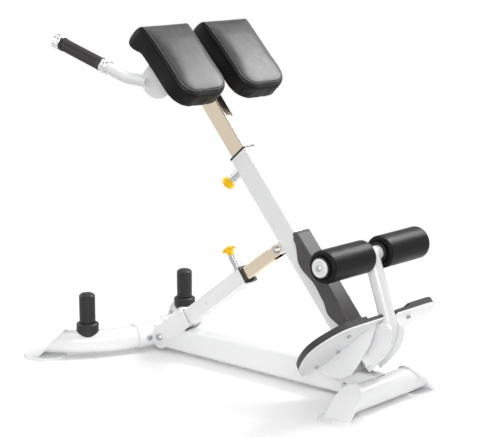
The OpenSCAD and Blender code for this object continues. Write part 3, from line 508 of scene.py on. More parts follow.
class Finishes:
    """Every finish of the bench, by record slot."""

    ZINC = Plating("zinc_plate", (0.62, 0.63, 0.64), (0.48, 0.49, 0.50), 0.32)
    NICKEL = Plating("nickel_plate", (0.86, 0.75, 0.60), (0.78, 0.66, 0.50), 0.15, (240.0, 240.0, 4.0), 0.705)
    CHROME = Plating("bright_chrome", (0.86, 0.86, 0.87), (0.76, 0.76, 0.78), 0.07)

    def __init__(self) -> None:
        """Builds all the materials."""
        made = {
            Slot.WHITE: PowderCoat("white_powder_coat"),
            Slot.WHITE_PLASTIC: PowderCoat(
                "white_cap_plastic", (0.83, 0.83, 0.835), (0.77, 0.77, 0.765), 0.34
            ),
            Slot.ZINC: self.ZINC,
            Slot.NICKEL: self.NICKEL,
            Slot.CHROME: self.CHROME,
            Slot.VINYL: Vinyl("black_vinyl"),
            Slot.MAT: Tread("mat_rubber"),
            Slot.GRIP: Moulding(
                "grip_rubber", (0.020, 0.0165, 0.0168), (0.028, 0.023, 0.023), 0.5,
                grain=1400.0, depth=0.00004, shine=0.3,
            ),
            Slot.PEG: Moulding("peg_plastic", (0.007, 0.007, 0.0075), (0.016, 0.016, 0.017), 0.42, 700.0),
            Slot.BLACK: Moulding("black_plastic", (0.006, 0.006, 0.0065), (0.014, 0.014, 0.015), 0.46),
            Slot.GUARD: Moulding(
                "guard_plastic", (0.058, 0.053, 0.054), (0.085, 0.079, 0.08), 0.5,
                grain=520.0, depth=0.0004,
            ),
            Slot.YELLOW: Moulding(
                "yellow_plastic", (1.0, 0.60, 0.0), (0.95, 0.52, 0.0), 0.36,
                grain=300.0, depth=0.00002, shine=0.15,
            ),
        }
        self.by_slot = {slot: finish.build() for slot, finish in made.items()}
        self.thread = Thread("seam_thread").build()

    def dress(self, node: Object, slot: Slot) -> None:
        """Gives a CAD node its finish.

        Args:
            node: the node's object.
            slot: the record slot.
        """
        node.data.materials.clear()
        node.data.materials.append(self.by_slot[slot])


def linked(name: str, data: ID) -> Object:
    """Puts a new object into the scene.

    Args:
        name: the object's name.
        data: its mesh, curve, lamp or camera.

    Returns:
        The object.
    """
    made = bpy.data.objects.new(name, data)
    bpy.context.scene.collection.objects.link(made)
    return made


def poured(name: str, bm: BMesh) -> Mesh:
    """Turns a bmesh into a new mesh and frees it.

    Args:
        name: the mesh's name.
        bm: the shape.

    Returns:
        The mesh.
    """
    mesh = bpy.data.meshes.new(name)
    bm.to_mesh(mesh)
    bm.free()
    return mesh


def evaluated(obj: Object) -> Object:
    """An object as its modifiers leave it."""
    return obj.evaluated_get(bpy.context.evaluated_depsgraph_get())


class Bench:
    """Shared tools of the scene: finishing a mesh into a piece that rides on a body."""

    def __init__(self, finishes: Finishes) -> None:
        """Keeps the finishes.

        Args:
            finishes: the built finishes.
        """
        self.finishes = finishes

    def piece(
        self, name: str, bm: BMesh, body: Body, slot: Slot,
        at: Matrix | None = None, crease: float = CREASE,
    ) -> Object:
        """Makes a piece from a bmesh.

        Args:
            name: the piece's name.
            bm: its shape, freed afterwards.
            body: the body it rides on.
            slot: its finish.
            at: the place of its local frame, in metres.
            crease: the angle in degrees above which an edge stays sharp.

        Returns:
            The object.
        """
        if at is not None:
            bmesh.ops.transform(bm, matrix=at, verts=bm.verts)
        bmesh.ops.remove_doubles(bm, verts=bm.verts, dist=MERGE)
        bmesh.ops.recalc_face_normals(bm, faces=bm.faces)
        return self.from_mesh(name, poured(name, bm), body, slot, crease)

    def from_mesh(
        self, name: str, mesh: Mesh, body: Body, slot: Slot, crease: float = CREASE
    ) -> Object:
        """Makes a piece from a finished mesh in the row frame.

        Args:
            name: the piece's name.
            mesh: its mesh.
            body: the body it rides on.
            slot: its finish.
            crease: the angle in degrees above which an edge stays sharp.

        Returns:
            The object.
        """
        mesh.polygons.foreach_set("use_smooth", [True] * len(mesh.polygons))
        mesh.set_sharp_from_angle(angle=math.radians(crease))
        mesh.materials.clear()
        mesh.materials.append(self.finishes.by_slot[slot])
        made = linked(name, mesh)
        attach(made, body.value)
        LOG.info("%s: %d faces on %s", name, len(mesh.polygons), body.value)
        return made

    def bead(
        self, name: str, runs: Iterable[Sequence[Vector]], radius: float, body: Body, slot: Slot,
        ripple: float = 0.0, closed: bool = True,
    ) -> Object:
        """Makes round beads that follow lines, such as welds, welts and thread.

        Args:
            name: the piece's name.
            runs: the lines, in row metres.
            radius: the bead's radius.
            body: the body it rides on.
            slot: its finish.
            ripple: how much the radius swells at every second point.
            closed: whether each line is a loop.

        Returns:
            The object.
        """
        curve = bpy.data.curves.new(name, "CURVE")
        curve.dimensions = "3D"
        curve.bevel_depth = radius
        curve.bevel_resolution = 2
        curve.use_fill_caps = True
        for run in runs:
            spline = curve.splines.new("POLY")
            spline.points.add(len(run) - 1)
            spline.use_cyclic_u = closed
            for i, (point, spot) in enumerate(zip(spline.points, run)):
                point.co = (*spot, 1.0)
                point.radius = 1.0 + ripple * (i % 2)
        shown = linked(name, curve)
        mesh = bpy.data.meshes.new_from_object(evaluated(shown))
        bpy.data.objects.remove(shown)
        return self.from_mesh(name, mesh, body, slot, BEAD_CREASE)

    @staticmethod
    def lathe(profile: Sequence[tuple[float, float]], steps: int) -> BMesh:
        """Spins a profile about Z.

        Args:
            profile: radius and height pairs, in metres.
            steps: facets round the axis.

        Returns:
            The turned shape.
        """
        bm = bmesh.new()
        verts = [bm.verts.new((r, 0.0, z)) for r, z in profile]
        edges = [bm.edges.new(pair) for pair in zip(verts, verts[1:])]
        bmesh.ops.spin(
            bm, geom=verts + edges, cent=(0, 0, 0), axis=(0, 0, 1),
            angle=math.tau, steps=steps, use_merge=True,
        )
        bmesh.ops.remove_doubles(bm, verts=bm.verts, dist=MERGE)
        return bm


def spin(axis: str, degrees: float) -> Matrix:
    """A turn about one axis."""
    return Matrix.Rotation(math.radians(degrees), 4, axis)


def shift(x: float, y: float, z: float) -> Matrix:
    """A move given in millimetres."""
    return Matrix.Translation((x * MM, y * MM, z * MM))


def ease(f: float) -> float:
    """A smooth step from 0 to 1."""
    c = min(max(f, 0.0), 1.0)
    return c * c * (3 - 2 * c)


@dataclass(frozen=True)
class Stance:
    """The frames that the sub-assemblies share, in millimetres."""

    hinge_x: float = 472.75
    hinge_z: float = 126.0
    lean: float = 40.4
    setback: float = 41.0
    rise: float = 200.0
    bend_x: float = -752.8633
    bend_r: float = 367.0
    rear_x: float = 588.75
    tube_z: float = 50.0

    def swing(self) -> Matrix:
        """The upright's frame: x behind its centre line, z along it."""
        hinge = shift(self.hinge_x, 0, self.hinge_z)
        return hinge @ spin("Y", -self.lean) @ shift(self.setback, 0, -self.rise)

    def on_arc(self, angle: float) -> Matrix:
        """A point of the front tube's arc.

        Args:
            angle: degrees round the bend.

        Returns:
            The frame there, x out of the bend and z up.
        """
        return shift(self.bend_x, 0, 0) @ spin("Z", angle) @ shift(self.bend_r, 0, 0)


def ring(at: Matrix, radius: float, count: int) -> list[Vector]:
    """Points of a circle in a frame's XY plane.

    Args:
        at: the frame.
        radius: the circle's radius in metres.
        count: how many points.

    Returns:
        The points, in row metres.
    """
    turns = [i * (math.tau / count) for i in range(count)]
    return [at @ Vector((radius * math.cos(t), radius * math.sin(t), 0.0)) for t in turns]


def outline(corners: Sequence[Vector], step: float, closed: bool = True) -> list[Vector]:
    """Points along straight runs between corners.

    Args:
        corners: the corners in order.
        step: the spacing in metres.
        closed: whether the last corner joins the first.

    Returns:
        The points.
    """
    points: list[Vector] = []
    ends = list(corners[1:]) + ([corners[0]] if closed else [])
    for a, b in zip(corners, ends):
        count = max(1, round((b - a).length / step))
        points += [a.lerp(b, i / count) for i in range(count)]
    return points if closed else points + [corners[-1]]


@dataclass
class BasePieces:
    """Ridged band pegs and the weld beads of the base."""

    bench: Bench
    stance: Stance
    peg_r: float = 27.0
    peg_low: float = 117.1
    peg_top: float = 219.0
    peg_angle: float = 40.0
    peg_lip: float = 8.0
    ridges: int = 36
    weld_r: float = 2.2

    def build(self) -> None:
        """Makes the base's pieces."""
        self.pegs()
        self.welds()

    def pegs(self) -> None:
        """Turns a peg, presses its ridges and sets it on both sides."""
        r, low, top = self.peg_r * MM, self.peg_low * MM, self.peg_top * MM
        lip, ridge_deep, ridge_run = self.peg_lip * MM, 0.0006, 0.003
        profile = [(0.0, low), (r - 0.001, low), (r, low + 0.001)]
        profile += [(r, low + 0.004 + i * (top - low - lip - 0.008) / 6) for i in range(7)]
        profile += [(r, top - lip), (r - lip * 0.5, top - lip * 0.42), (r - lip, top - 0.0008)]
        profile += [(r - lip - 0.0015, top), (0.0, top)]
        bm = bmesh.new()
        for side in Side:
            one = Bench.lathe(profile, self.ridges * 4)
            for vert in one.verts:
                flat = Vector((vert.co.x, vert.co.y, 0.0))
                body = ease((vert.co.z - low - ridge_run) / ridge_run)
                body *= ease((top - lip - 0.002 - vert.co.z) / ridge_run)
                if flat.length > r * 0.97:
                    wave = math.cos(self.ridges * math.atan2(vert.co.y, vert.co.x))
                    vert.co -= flat.normalized() * ridge_deep * body * (1 + wave) * 0.5
            bmesh.ops.transform(one, matrix=self.stance.on_arc(side.value * self.peg_angle), verts=one.verts)
            part = poured("peg_part", one)
            bm.from_mesh(part)
            bpy.data.meshes.remove(part)
        pegs = self.bench.piece("ridged_band_pegs", bm, Body.BASE, Slot.PEG)
        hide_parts("band_pegs")

    def welds(self) -> None:
        """Runs the beads round the hub, the hinge lug, the spine's rear end and the rear foot plates."""
        s = self.stance
        r = self.weld_r * MM
        hub_r, hub_angle, hub_points = 0.0412, 14.2, 104
        lug_x, lug_y, lug_z = 0.034, 0.016, 0.0962
        spine_y, spine_low, tube_r = 0.0302, 0.026, 0.0402
        foot_x, foot_y, foot_z = -0.0135, 0.2202, 0.0066
        hub = [ring(shift(0, 0, s.tube_z) @ s.on_arc(a) @ spin("X", 90), hub_r, hub_points)
               for a in (-hub_angle, hub_angle)]
        lug = outline([Vector((s.hinge_x * MM + x, y, lug_z)) for x, y in
                       ((-lug_x, -lug_y), (lug_x, -lug_y), (lug_x, lug_y), (-lug_x, lug_y))], WELD_STEP)
        rear, feet = [], []
        for side in Side:
            y = side.value * spine_y
            rear.append([Vector((s.rear_x * MM - math.sqrt(tube_r ** 2 - (z - s.tube_z * MM) ** 2), y, z))
                         for z in [spine_low + i * WELD_STEP for i in range(23)]])
            feet.append([Vector((s.rear_x * MM + x, side.value * foot_y, foot_z))
                         for x in [foot_x + i * WELD_STEP for i in range(12)]])
        self.bench.bead("hub_welds", hub, r, Body.BASE, Slot.WHITE, WELD_RIPPLE)
        self.bench.bead("hinge_lug_weld", [lug], r, Body.BASE, Slot.WHITE, WELD_RIPPLE)
        self.bench.bead("spine_end_welds", rear, r, Body.BASE, Slot.WHITE, WELD_RIPPLE, False)
        self.bench.bead("rear_foot_welds", feet, r, Body.BASE, Slot.WHITE, WELD_RIPPLE, False)


@dataclass
class ThighPad:
    """One sewn thigh pad: foam form, cloth skin, welt, stitch line and gathers."""

    bench: Bench
    stance: Stance
    side: Side
    half: float = 109.5
    length: float = 298.0
    boxing: float = 68.0
    roll: float = 90.0
    roll_from: float = 0.73
    crown: float = 14.0
    crown_from: float = 170.0
    crown_to: float = 200.0
    crown_fade: float = 95.0
    crown_loss: float = 0.6
    draw: float = 4.0
    swell: float = 1.2
    corner: float = 66.0
    top_corner: float = 14.0
    front_edge: float = 12.0
    back_edge: float = 5.0
    low_edge: float = 8.0
    top_edge: float = 28.0
    tip: float = 3.3
    foot: Point = (129.0, 141.0, 1105.0)
    voxel: float = 4.0
    pressure: float = 4.0
    cloth_steps: int = 20
    even_passes: int = 12
    stitch_in: float = 8.0
    stitch_r: float = 0.7
    welt_r: float = 1.9
    skin: BVHTree = field(init=False, default=None)

    @property
    def name(self) -> str:
        """The CAD node that this pad stands for."""
        return f"thigh_pad_{self.side.name.lower()}"

    def frame(self) -> Matrix:
        """The pad's frame: x out of its front, y across, z up."""
        x, y, z = self.foot
        return self.stance.swing() @ shift(x, self.side.value * y, z) @ spin("Y", -self.tip)

    def depth(self, z: float) -> float:
        """Depth behind the front edge at a height, in millimetres."""
        return self.boxing + (self.roll - self.boxing) * ease((z / self.length - self.roll_from) / 0.2)

    def waist(self, y: float, z: float) -> float:
        """A place across the pad, drawn in at half its height."""
        return y * (1 - self.draw / self.half * math.sin(math.pi * z / self.length))

    def build(self) -> None:
        """Makes the pad and its sewing."""
        shape = self.form()
        mesh = self.skin_over(shape)
        self.sew(mesh)
        made = self.bench.from_mesh(f"sewn_{self.name}", mesh, Body.CARRIAGE, Slot.VINYL, SOFT_CREASE)
        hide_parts(self.name)
        self.thread()

    def form(self) -> BMesh:
        """Shapes the foam from a block.

        Returns:
            The form in the pad's frame, in metres, a little under size.
        """
        bm = bmesh.new()
        bmesh.ops.create_cube(bm, size=2.0)
        bmesh.ops.subdivide_edges(bm, edges=bm.edges, cuts=35, use_grid_fill=True)
        for vert in bm.verts:
            vert.co = self.foam(*vert.co) * MM
        bmesh.ops.recalc_face_normals(bm, faces=bm.faces)
        return bm

    def rim(self, b: float, c: float) -> tuple[Vector, Vector]:
        """The pad's edge seen from the front.

        Args:
            b: across, -1 to 1.
            c: along, -1 to 1; the greater of the two is 1.

        Returns:
            The point from the pad's middle in millimetres, and the way out there.
        """
        half = Vector((self.half - self.swell, self.length / 2 - self.swell))
        r = self.corner if c < 0 else self.top_corner
        spot = Vector((b * half.x, c * half.y))
        core = Vector([max(min(p, h - r), r - h) for p, h in zip(spot, half)])
        way = (spot - core).normalized()
        return core + way * r, way

    def foam(self, a: float, b: float, c: float) -> Vector:
        """Moves a point of a block 2 across to its place on the foam.

        Args:
            a: depth, -1 to 1 at the front.
            b: across, -1 to 1.
            c: along, -1 to 1 at the top.

        Returns:
            The place in the pad's frame, in millimetres.
        """
        m = max(abs(b), abs(c), 1e-9)
        rim, way = self.rim(b / m, c / m)
        top, low = max(way.y, 0.0) ** 2, max(-way.y, 0.0) ** 2
        back = self.swell - self.depth(rim.y * m + self.length / 2)
        front = -self.swell
        inset = (1 - m) * rim.length
        x = back + (a + 1) / 2 * (front - back)
        if a > 0:
            r = self.front_edge + self.low_edge * low + self.top_edge * top
            core = Vector((max(inset, r), min(x, front - r)))
        else:
            r = self.back_edge + self.top_edge * top
            core = Vector((max(inset, r), max(x, back + r)))
        reach = Vector((inset, x)) - core
        if reach.length > 1e-6:
            inset, x = core + reach.normalized() * r
        y, z = rim * (1 - inset / rim.length)
        z += self.length / 2
        lift = (x - back) / (front - back) * self.crown * (1 - (y / self.half) ** 4)
        fade = 1 - self.crown_loss * ease((z - self.crown_to) / self.crown_fade)
        x += lift * (1 - max(0.0, 1 - z / self.crown_from) ** 2) * fade
        return Vector((x, self.waist(y, z), z))

    def skin_over(self, shape: BMesh) -> Mesh:
        """Blows a cloth skin over the form.

        Args:
            shape: the form, freed here.

        Returns:
            The skin in the pad's frame, in metres.
        """
        obj = linked("pad_form", poured("pad_form", shape))
        remesh = obj.modifiers.new("even", "REMESH")
        remesh.mode = "VOXEL"
        remesh.voxel_size = self.voxel * MM
        mesh = self.applied(obj)
        self.settle(mesh, 3)
        self.blow(obj)
        subdivide = obj.modifiers.new("fine", "SUBSURF")
        subdivide.levels = subdivide.render_levels = 1
        mesh = self.applied(obj)
        bpy.data.objects.remove(obj)
        return mesh

    @staticmethod
    def applied(obj: Object) -> Mesh:
        """Applies an object's modifiers.

        Args:
            obj: the object, which keeps the new mesh.

        Returns:
            The new mesh.
        """
        bpy.context.view_layer.update()
        mesh = bpy.data.meshes.new_from_object(evaluated(obj))
        obj.modifiers.clear()
        obj.data = mesh
        return mesh

    def blow(self, obj: Object) -> None:
        """Runs the cloth under pressure and keeps what it moves outward, evened.

        Args:
            obj: the skin, changed in place.
        """
        mesh = obj.data
        held = obj.vertex_groups.new(name="held")
        back = -(self.boxing - 8) * MM
        held.add([v.index for v in mesh.vertices if v.co.x < back and v.co.z < 0.21], 1.0, "REPLACE")
        cloth = obj.modifiers.new("cloth", "CLOTH")
        settings = cloth.settings
        settings.quality = 6
        settings.mass = 0.4
        settings.tension_stiffness = settings.compression_stiffness = 12.0
        settings.shear_stiffness = 6.0
        settings.bending_stiffness = 2.0
        settings.use_pressure = True
        settings.uniform_pressure_force = self.pressure
        settings.vertex_group_mass = "held"
        settings.effector_weights.gravity = 0.0
        scene = bpy.context.scene
        for step in range(1, self.cloth_steps + 1):
            scene.frame_set(step)
        blown = evaluated(obj)
        rest, swollen = self.spots(mesh), self.spots(blown.to_mesh())
        blown.to_mesh_clear()
        obj.modifiers.clear()
        scene.frame_set(1)
        normal = np.array([v.normal[:] for v in mesh.vertices])
        out = np.sum((swollen - rest) * normal, axis=1, keepdims=True)
        most = (self.swell + 0.6) * MM
        rest += normal * self.spread(mesh, np.clip(out, 0.0, most), self.even_passes)
        mesh.vertices.foreach_set("co", rest.ravel())
        mesh.update()

    @staticmethod
    def spots(mesh: Mesh) -> np.ndarray:
        """The places of a mesh's points.

        Args:
            mesh: the mesh.

        Returns:
            One row per point, in metres.
        """
        flat = np.empty(len(mesh.vertices) * 3)
        mesh.vertices.foreach_get("co", flat)
        return flat.reshape(-1, 3)

    @staticmethod
    def spread(mesh: Mesh, move: np.ndarray, passes: int) -> np.ndarray:
        """Shares the points' moves with their neighbours, so that the skin stays taut.

        Args:
            mesh: the skin.
            move: one row per point.
            passes: how often each move is averaged.

        Returns:
            The evened moves.
        """
        ends = np.empty(len(mesh.edges) * 2, dtype=int)
        mesh.edges.foreach_get("vertices", ends)
        a, b = ends.reshape(-1, 2).T
        share = 1 + np.bincount(ends, minlength=len(move)).reshape(-1, 1)
        for _ in range(passes):
            total = move.copy()
            np.add.at(total, a, move[b])
            np.add.at(total, b, move[a])
            move = total / share
        return move

    @staticmethod
    def settle(mesh: Mesh, passes: int) -> None:
        """Evens out a skin.

        Args:
            mesh: the skin, changed in place.
            passes: how often each point moves towards its neighbours.
        """
        bm = bmesh.new()
        bm.from_mesh(mesh)
        for _ in range(passes):
            bmesh.ops.smooth_vert(
                bm, verts=bm.verts, factor=0.5, use_axis_x=True, use_axis_y=True, use_axis_z=True
            )
        bm.to_mesh(mesh)
        bm.free()

    def seam(self, inward: float) -> list[Vector]:
        """The line where the front panel meets the boxing.

        Args:
            inward: how far inside the seam on the front panel, in millimetres.

        Returns:
            Points near the skin in the pad's frame, in metres.
        """
        edge = self.half - 3.0 - inward
        low = 5.0 + inward
        turn = self.corner - 4.0 - inward
        roll, top = self.roll / 2, self.length - self.roll / 2
        side = [(-roll + roll * math.cos(t), edge, top + roll * math.sin(t))
                for t in [math.radians(a) for a in range(200, 0, -10)]]
        side += [(2.0, edge, z) for z in range(int(top), int(low + turn), -6)]
        corner = [(0.0, edge - turn * (1 - math.cos(t)), low + turn * (1 - math.sin(t)))
                  for t in [math.radians(a) for a in range(0, 91, 10)]]
        across = [(0.0, y, low) for y in range(int(edge - turn) - 6, -int(edge - turn) + 5, -6)]
        right = side + corner
        left = [(x, -y, z) for x, y, z in reversed(right)]
        return [Vector((x, self.waist(y, z), z)) * MM for x, y, z in right + across + left]

    def sew(self, mesh: Mesh) -> None:
        """Presses the seam and the gathers into the skin, and puts it in its place.

        Args:
            mesh: the skin, changed in place.
        """
        bm = bmesh.new()
        bm.from_mesh(mesh)
        for vert in bm.verts:
            if vert.co.z < 0.212:
                vert.co.x = max(vert.co.x, -(self.boxing - 1.4) * MM)
            low = ease((0.026 - vert.co.z) / 0.02) * ease((-vert.co.x - 0.018) / 0.025)
            fold = noise.noise(Vector((vert.co.y * 46.0, self.side.value * 3.0, vert.co.x * 14.0)))
            vert.co.z += low * (0.0024 * fold + 0.0004 * math.sin(vert.co.y * 170.0 + 6.0 * fold))
        bm.normal_update()
        tree = BVHTree.FromBMesh(bm)
        lines = [[tree.find_nearest(p)[0] for p in self.seam(inward)] for inward in (0.0, self.stitch_in)]
        for line, deep, wide in ((lines[0], 0.0022, 0.0045), (lines[1], 0.0009, 0.003)):
            spots = KDTree(len(line))
            for i, spot in enumerate(line):
                spots.insert(spot, i)
            spots.balance()
            for vert in bm.verts:
                near = spots.find(vert.co)[2]
                if near < 3 * wide:
                    vert.co -= vert.normal * deep * math.exp(-((near / wide) ** 2))
        bm.normal_update()
        polish = bm.verts.layers.float.new(POLISH)
        for vert in bm.verts:
            vert[polish] = ease((vert.normal.x - 0.4) / 0.45)
        self.skin = BVHTree.FromBMesh(bm)
        bmesh.ops.transform(bm, matrix=self.frame(), verts=bm.verts)
        bm.to_mesh(mesh)
        bm.free()

    def lifted(self, p: Vector, lift: float) -> Vector:
        """The skin's nearest point to another, lifted off it, in row metres."""
        spot, normal, _, _ = self.skin.find_nearest(p)
        return self.frame() @ (spot + normal * lift)

    def thread(self) -> None:
        """Lays the welt in its seam and the stitches on their line."""
        proud = 0.0004
        where = {"body": Body.CARRIAGE, "slot": Slot.VINYL, "closed": False}
        welt = [self.lifted(p, proud) for p in self.seam(0.0)]
        self.bench.bead(f"{self.name}_welt", [welt], self.welt_r * MM, **where)
        line = outline(self.seam(self.stitch_in), STITCH_STEP, False)
        bends = ((0.16, 0.0), (0.5, proud), (0.84, 0.0))
        stitches = [[self.lifted(a.lerp(b, f), lift) for f, lift in bends] for a, b in zip(line, line[1:])]
        sewn = self.bench.bead(f"{self.name}_stitches", stitches, self.stitch_r * MM, **where)
        sewn.data.materials[0] = self.bench.finishes.thread


@dataclass
class AnkleRoller:
    """One ankle roller: vinyl sleeve drawn into pleats at both ends."""

    bench: Bench
    stance: Stance
    side: Side
    back: float = 233.0
    height: float = 412.0
    start: float = 33.3
    length: float = 207.9
    radius: float = 51.0
    ring: float = 33.5
    pleats: int = 26
    facets: int = 260
    bands: int = 20
    seed: int = 7

    def build(self) -> None:
        """Makes the roller's cover."""
        r, n, ring_r = self.radius * MM, self.length * MM, self.ring * MM
        end = [(ring_r - 0.012, 0.005), (ring_r - 0.003, 0.0045), (ring_r, 0.004), (ring_r + 0.002, 0.0022)]
        end += [(ring_r + 0.004, 0.0008), (ring_r + 0.007, 0.0004)]
        edge = 0.0115
        end += [(r - edge + edge * math.sin(a), 0.0006 + edge * (1 - math.cos(a)))
                for a in [math.radians(t) for t in range(10, 91, 10)]]
        profile = end + [(r, edge + 0.004 + i * (n - 2 * edge - 0.008) / self.bands)
                         for i in range(self.bands + 1)]
        profile += [(radius, n - z) for radius, z in reversed(end)]
        bm = Bench.lathe(profile, self.facets)
        rng = random.Random(self.seed + self.side.value)
        starts = [rng.random() * 0.9 for _ in range(self.pleats + 1)]
        starts[-1] = starts[0]
        polish = bm.verts.layers.float.new(POLISH)
        for vert in bm.verts:
            turn = math.atan2(vert.co.y, vert.co.x)
            flat = math.hypot(vert.co.x, vert.co.y)
            near = min(vert.co.z, n - vert.co.z)
            vert[polish] = 0.1 * ease((near - 0.004) / 0.01)
            gather = ease((0.0495 - flat) / 0.01) * ease((0.014 - near) / 0.006)
            gather *= ease((flat - ring_r + 0.003) / 0.005)
            gather = max(gather, 0.2 * ease((0.03 - near) / 0.025))
            f = (turn / math.tau + 0.5) * self.pleats
            k = int(f) % self.pleats
            ridge = abs(math.sin(math.pi * (f + 0.35 * starts[k] * math.sin(math.pi * (f % 1.0))))) ** 0.6
            pull = gather * (0.0024 + 0.0012 * starts[k]) * (1 - ridge)
            sample = Vector((vert.co.x * 60, vert.co.y * 60, vert.co.z * 18 + self.side.value))
            loose = 0.0004 * noise.noise(sample)
            out = Vector((vert.co.x, vert.co.y, 0.0)).normalized()
            way = 1.0 if vert.co.z < n / 2 else -1.0
            vert.co += out * (loose - pull * 0.3 - 0.0004) + Vector((0, 0, way * pull))
        place = self.stance.swing() @ shift(self.back, 0, self.height)
        place = place @ spin("X", -90 * self.side.value) @ shift(0, 0, self.start)
        body = Body.LEFT_ROLLER if self.side is Side.LEFT else Body.RIGHT_ROLLER
        name = f"roller_{self.side.name.lower()}"
        made = self.bench.piece(f"pleated_{name}", bm, body, Slot.VINYL, place, SOFT_CREASE)
        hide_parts(name)


@dataclass
class PinSprings:
    """The pop-pins' springs, made from their CAD coils; on the real pins they close up as a pin is pulled."""

    bench: Bench
    pull: float = 0.012

    def build(self) -> None:
        """Makes both springs."""
        self.coil("upper", Body.SWING)
        self.coil("lower", Body.SLEEVE)

    def coil(self, pin: str, body: Body) -> None:
        """Makes one spring from its CAD coil.

        Args:
            pin: which pop-pin.
            body: the body that its barrel rides on.
        """
        node, joint = f"{pin}_pin_spring", f"{pin}_pin_pull"
        bm = bmesh.new()
        bm.from_mesh(frame["nodes"][node].data)
        made = self.bench.piece(f"coiled_{node}", bm, body, Slot.ZINC)
        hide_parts(node)
        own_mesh(made)


@dataclass
class SwingPieces:
    """Weld beads of the swinging frame."""

    bench: Bench
    stance: Stance

    def build(self) -> None:
        """Runs the bead round the upright's lug."""
        swing = self.stance.swing()
        lug_x, lug_z, half, tall = -0.0382, 0.618, 0.0135, 0.0162
        corners = [swing @ Vector((lug_x, y, lug_z + z)) for y, z in
                   ((-half, -tall), (half, -tall), (half, tall), (-half, tall))]
        line = outline(corners, WELD_STEP)
        self.bench.bead("upright_lug_weld", [line], WELD_R, Body.SWING, Slot.WHITE, WELD_RIPPLE)


@dataclass
class CarriagePieces:
    """Weld beads of the pad carriage."""

    bench: Bench
    stance: Stance
    cross_x: float = 10.0
    cross_z: float = 1257.0

    def build(self) -> None:
        """Runs the beads where the cross tube meets the post and the side plates."""
        tube_r, points, post_y, plate_y = 0.0212, 54, 0.0192, 0.1987
        axis = self.stance.swing() @ shift(self.cross_x, 0, self.cross_z) @ spin("X", 90)
        rings = [ring(axis @ Matrix.Translation((0, 0, s.value * y)), tube_r, points)
                 for s in Side for y in (post_y, plate_y)]
        self.bench.bead("cross_tube_welds", rings, WELD_R, Body.CARRIAGE, Slot.WHITE, WELD_RIPPLE)


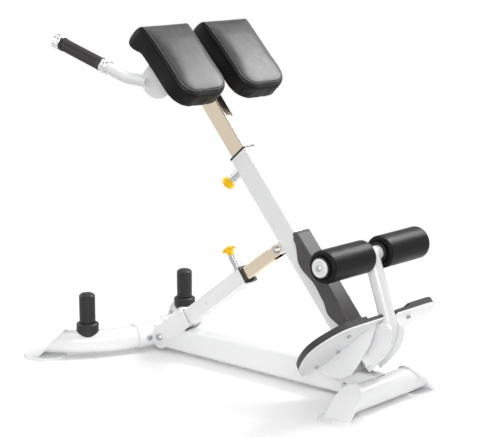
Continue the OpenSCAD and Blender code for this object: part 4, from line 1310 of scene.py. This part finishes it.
@dataclass
class Studio:
    """White floor, soft boxes and the camera at the photograph's viewpoint."""

    eye: Point = (3.308, -3.663, 1.497)
    azimuth: float = 41.62
    elevation: float = 11.39
    lens: float = 111.65
    floor_in: float = 0.55
    floor_out: float = 1.5
    floor_half: float = 30.0
    room: float = 0.25
    sky: tuple[float, ...] = (0.1, 0.5, 0.75, 0.3)

    def build(self) -> None:
        """Sets the stage."""
        self.camera()
        self.floor()
        self.world()
        self.lamp("fill_box", (2.9, -2.8, 1.9), (0.0, 0.0, 0.5), 2.2, 98.0)
        self.lamp("top_box", (-0.3, 0.2, 3.2), (0.0, 0.0, 0.4), 2.6, 40.0)
        self.lamp("back_box", (0.85, 1.95, 2.45), (-0.15, 0.0, 1.1), 1.3, 74.0)
        self.lamp("left_box", (-3.0, -1.4, 1.9), (0.0, 0.0, 0.5), 2.0, 34.0)
        bpy.context.scene.view_settings.view_transform = "Standard"

    def camera(self) -> None:
        """Places the camera."""
        data = bpy.data.cameras.new("camera")
        data.lens = self.lens
        data.sensor_width = 36.0
        data.clip_end = 100.0
        shown = linked("camera", data)
        shown.location = self.eye
        shown.rotation_euler = (math.radians(90 - self.elevation), 0.0, math.radians(self.azimuth))
        bpy.context.scene.camera = shown

    def floor(self) -> None:
        """Lays a pale floor that takes the shadow and shows white to the eye."""
        bm = bmesh.new()
        bmesh.ops.create_grid(bm, x_segments=2, y_segments=2, size=self.floor_half)
        mesh = poured("floor", bm)
        floor = linked("floor", mesh)
        g = Graph("pale_floor")
        dust = g.speckle(3.0, 3.0, 0.5)
        g.put(Base_Color=g.tint(dust, (0.96, 0.96, 0.96), (0.94, 0.94, 0.94)), Roughness=0.9)
        centre = g.node("VectorMath", {"operation": "LENGTH"}, {0: g.place()}, "Value")
        g.fade(((centre - self.floor_in) * (1.0 / (self.floor_out - self.floor_in))).clamped())
        mesh.materials.append(g.material)

    def world(self) -> None:
        """Lights the room softly, shows white behind the object and dims what it mirrors from above."""
        world = bpy.data.worlds.new("studio")
        bpy.context.scene.world = world
        world.use_nodes = True
        tree = world.node_tree
        tree.nodes.clear()
        kinds = ("OutputWorld", "Background", "LightPath", "TexCoord", "SeparateXYZ", "MapRange", "Mix",
                 "Math", "Math")
        made = [tree.nodes.new(f"ShaderNode{kind}") for kind in kinds]
        out, shade, path, way, rise, dim, level, shine, seen = made
        shade.inputs["Color"].default_value = (1.0, 1.0, 1.0, 1.0)
        shine.operation = "MULTIPLY_ADD"
        seen.operation = "MAXIMUM"
        for i, value in enumerate(self.sky, 1):
            dim.inputs[i].default_value = value
        level.inputs[2].default_value = self.room
        level.inputs[3].default_value = 1.0
        for source, target in (
            (way.outputs["Generated"], rise.inputs[0]),
            (rise.outputs["Z"], dim.inputs[0]),
            (dim.outputs[0], shine.inputs[1]),
            (path.outputs["Is Glossy Ray"], shine.inputs[0]),
            (path.outputs["Is Transmission Ray"], shine.inputs[2]),
            (path.outputs["Is Camera Ray"], seen.inputs[0]),
            (shine.outputs[0], seen.inputs[1]),
            (seen.outputs[0], level.inputs[0]),
            (level.outputs[0], shade.inputs["Strength"]),
            (shade.outputs[0], out.inputs["Surface"]),
        ):
            tree.links.new(source, target)

    def lamp(self, name: str, at: Point, to: Point, size: float, power: float) -> None:
        """Hangs one soft box.

        Args:
            name: the lamp's name.
            at: where it hangs.
            to: where it points.
            size: its side in metres.
            power: its power in watts.
        """
        data = bpy.data.lights.new(name, "AREA")
        data.shape = "SQUARE"
        data.size = size
        data.energy = power
        shown = linked(name, data)
        shown.location = at
        shown.rotation_euler = (Vector(to) - Vector(at)).to_track_quat("-Z", "Y").to_euler()


def main() -> None:
    """Builds the classes in order."""
    logging.basicConfig(level=logging.INFO, format="%(name)s %(message)s")
    Studio().build()
    finishes = Finishes()
    slots = {part["node"]: Slot(part["material_slot"]) for part in frame["record"]["subparts"]}
    for name, node in frame["nodes"].items():
        finishes.dress(node, slots[name])
    bench = Bench(finishes)
    stance = Stance()
    BasePieces(bench, stance).build()
    SwingPieces(bench, stance).build()
    PinSprings(bench).build()
    CarriagePieces(bench, stance).build()
    for side in Side:
        ThighPad(bench, stance, side).build()
        AnkleRoller(bench, stance, side).build()


if __name__ == "__main__":
    main()
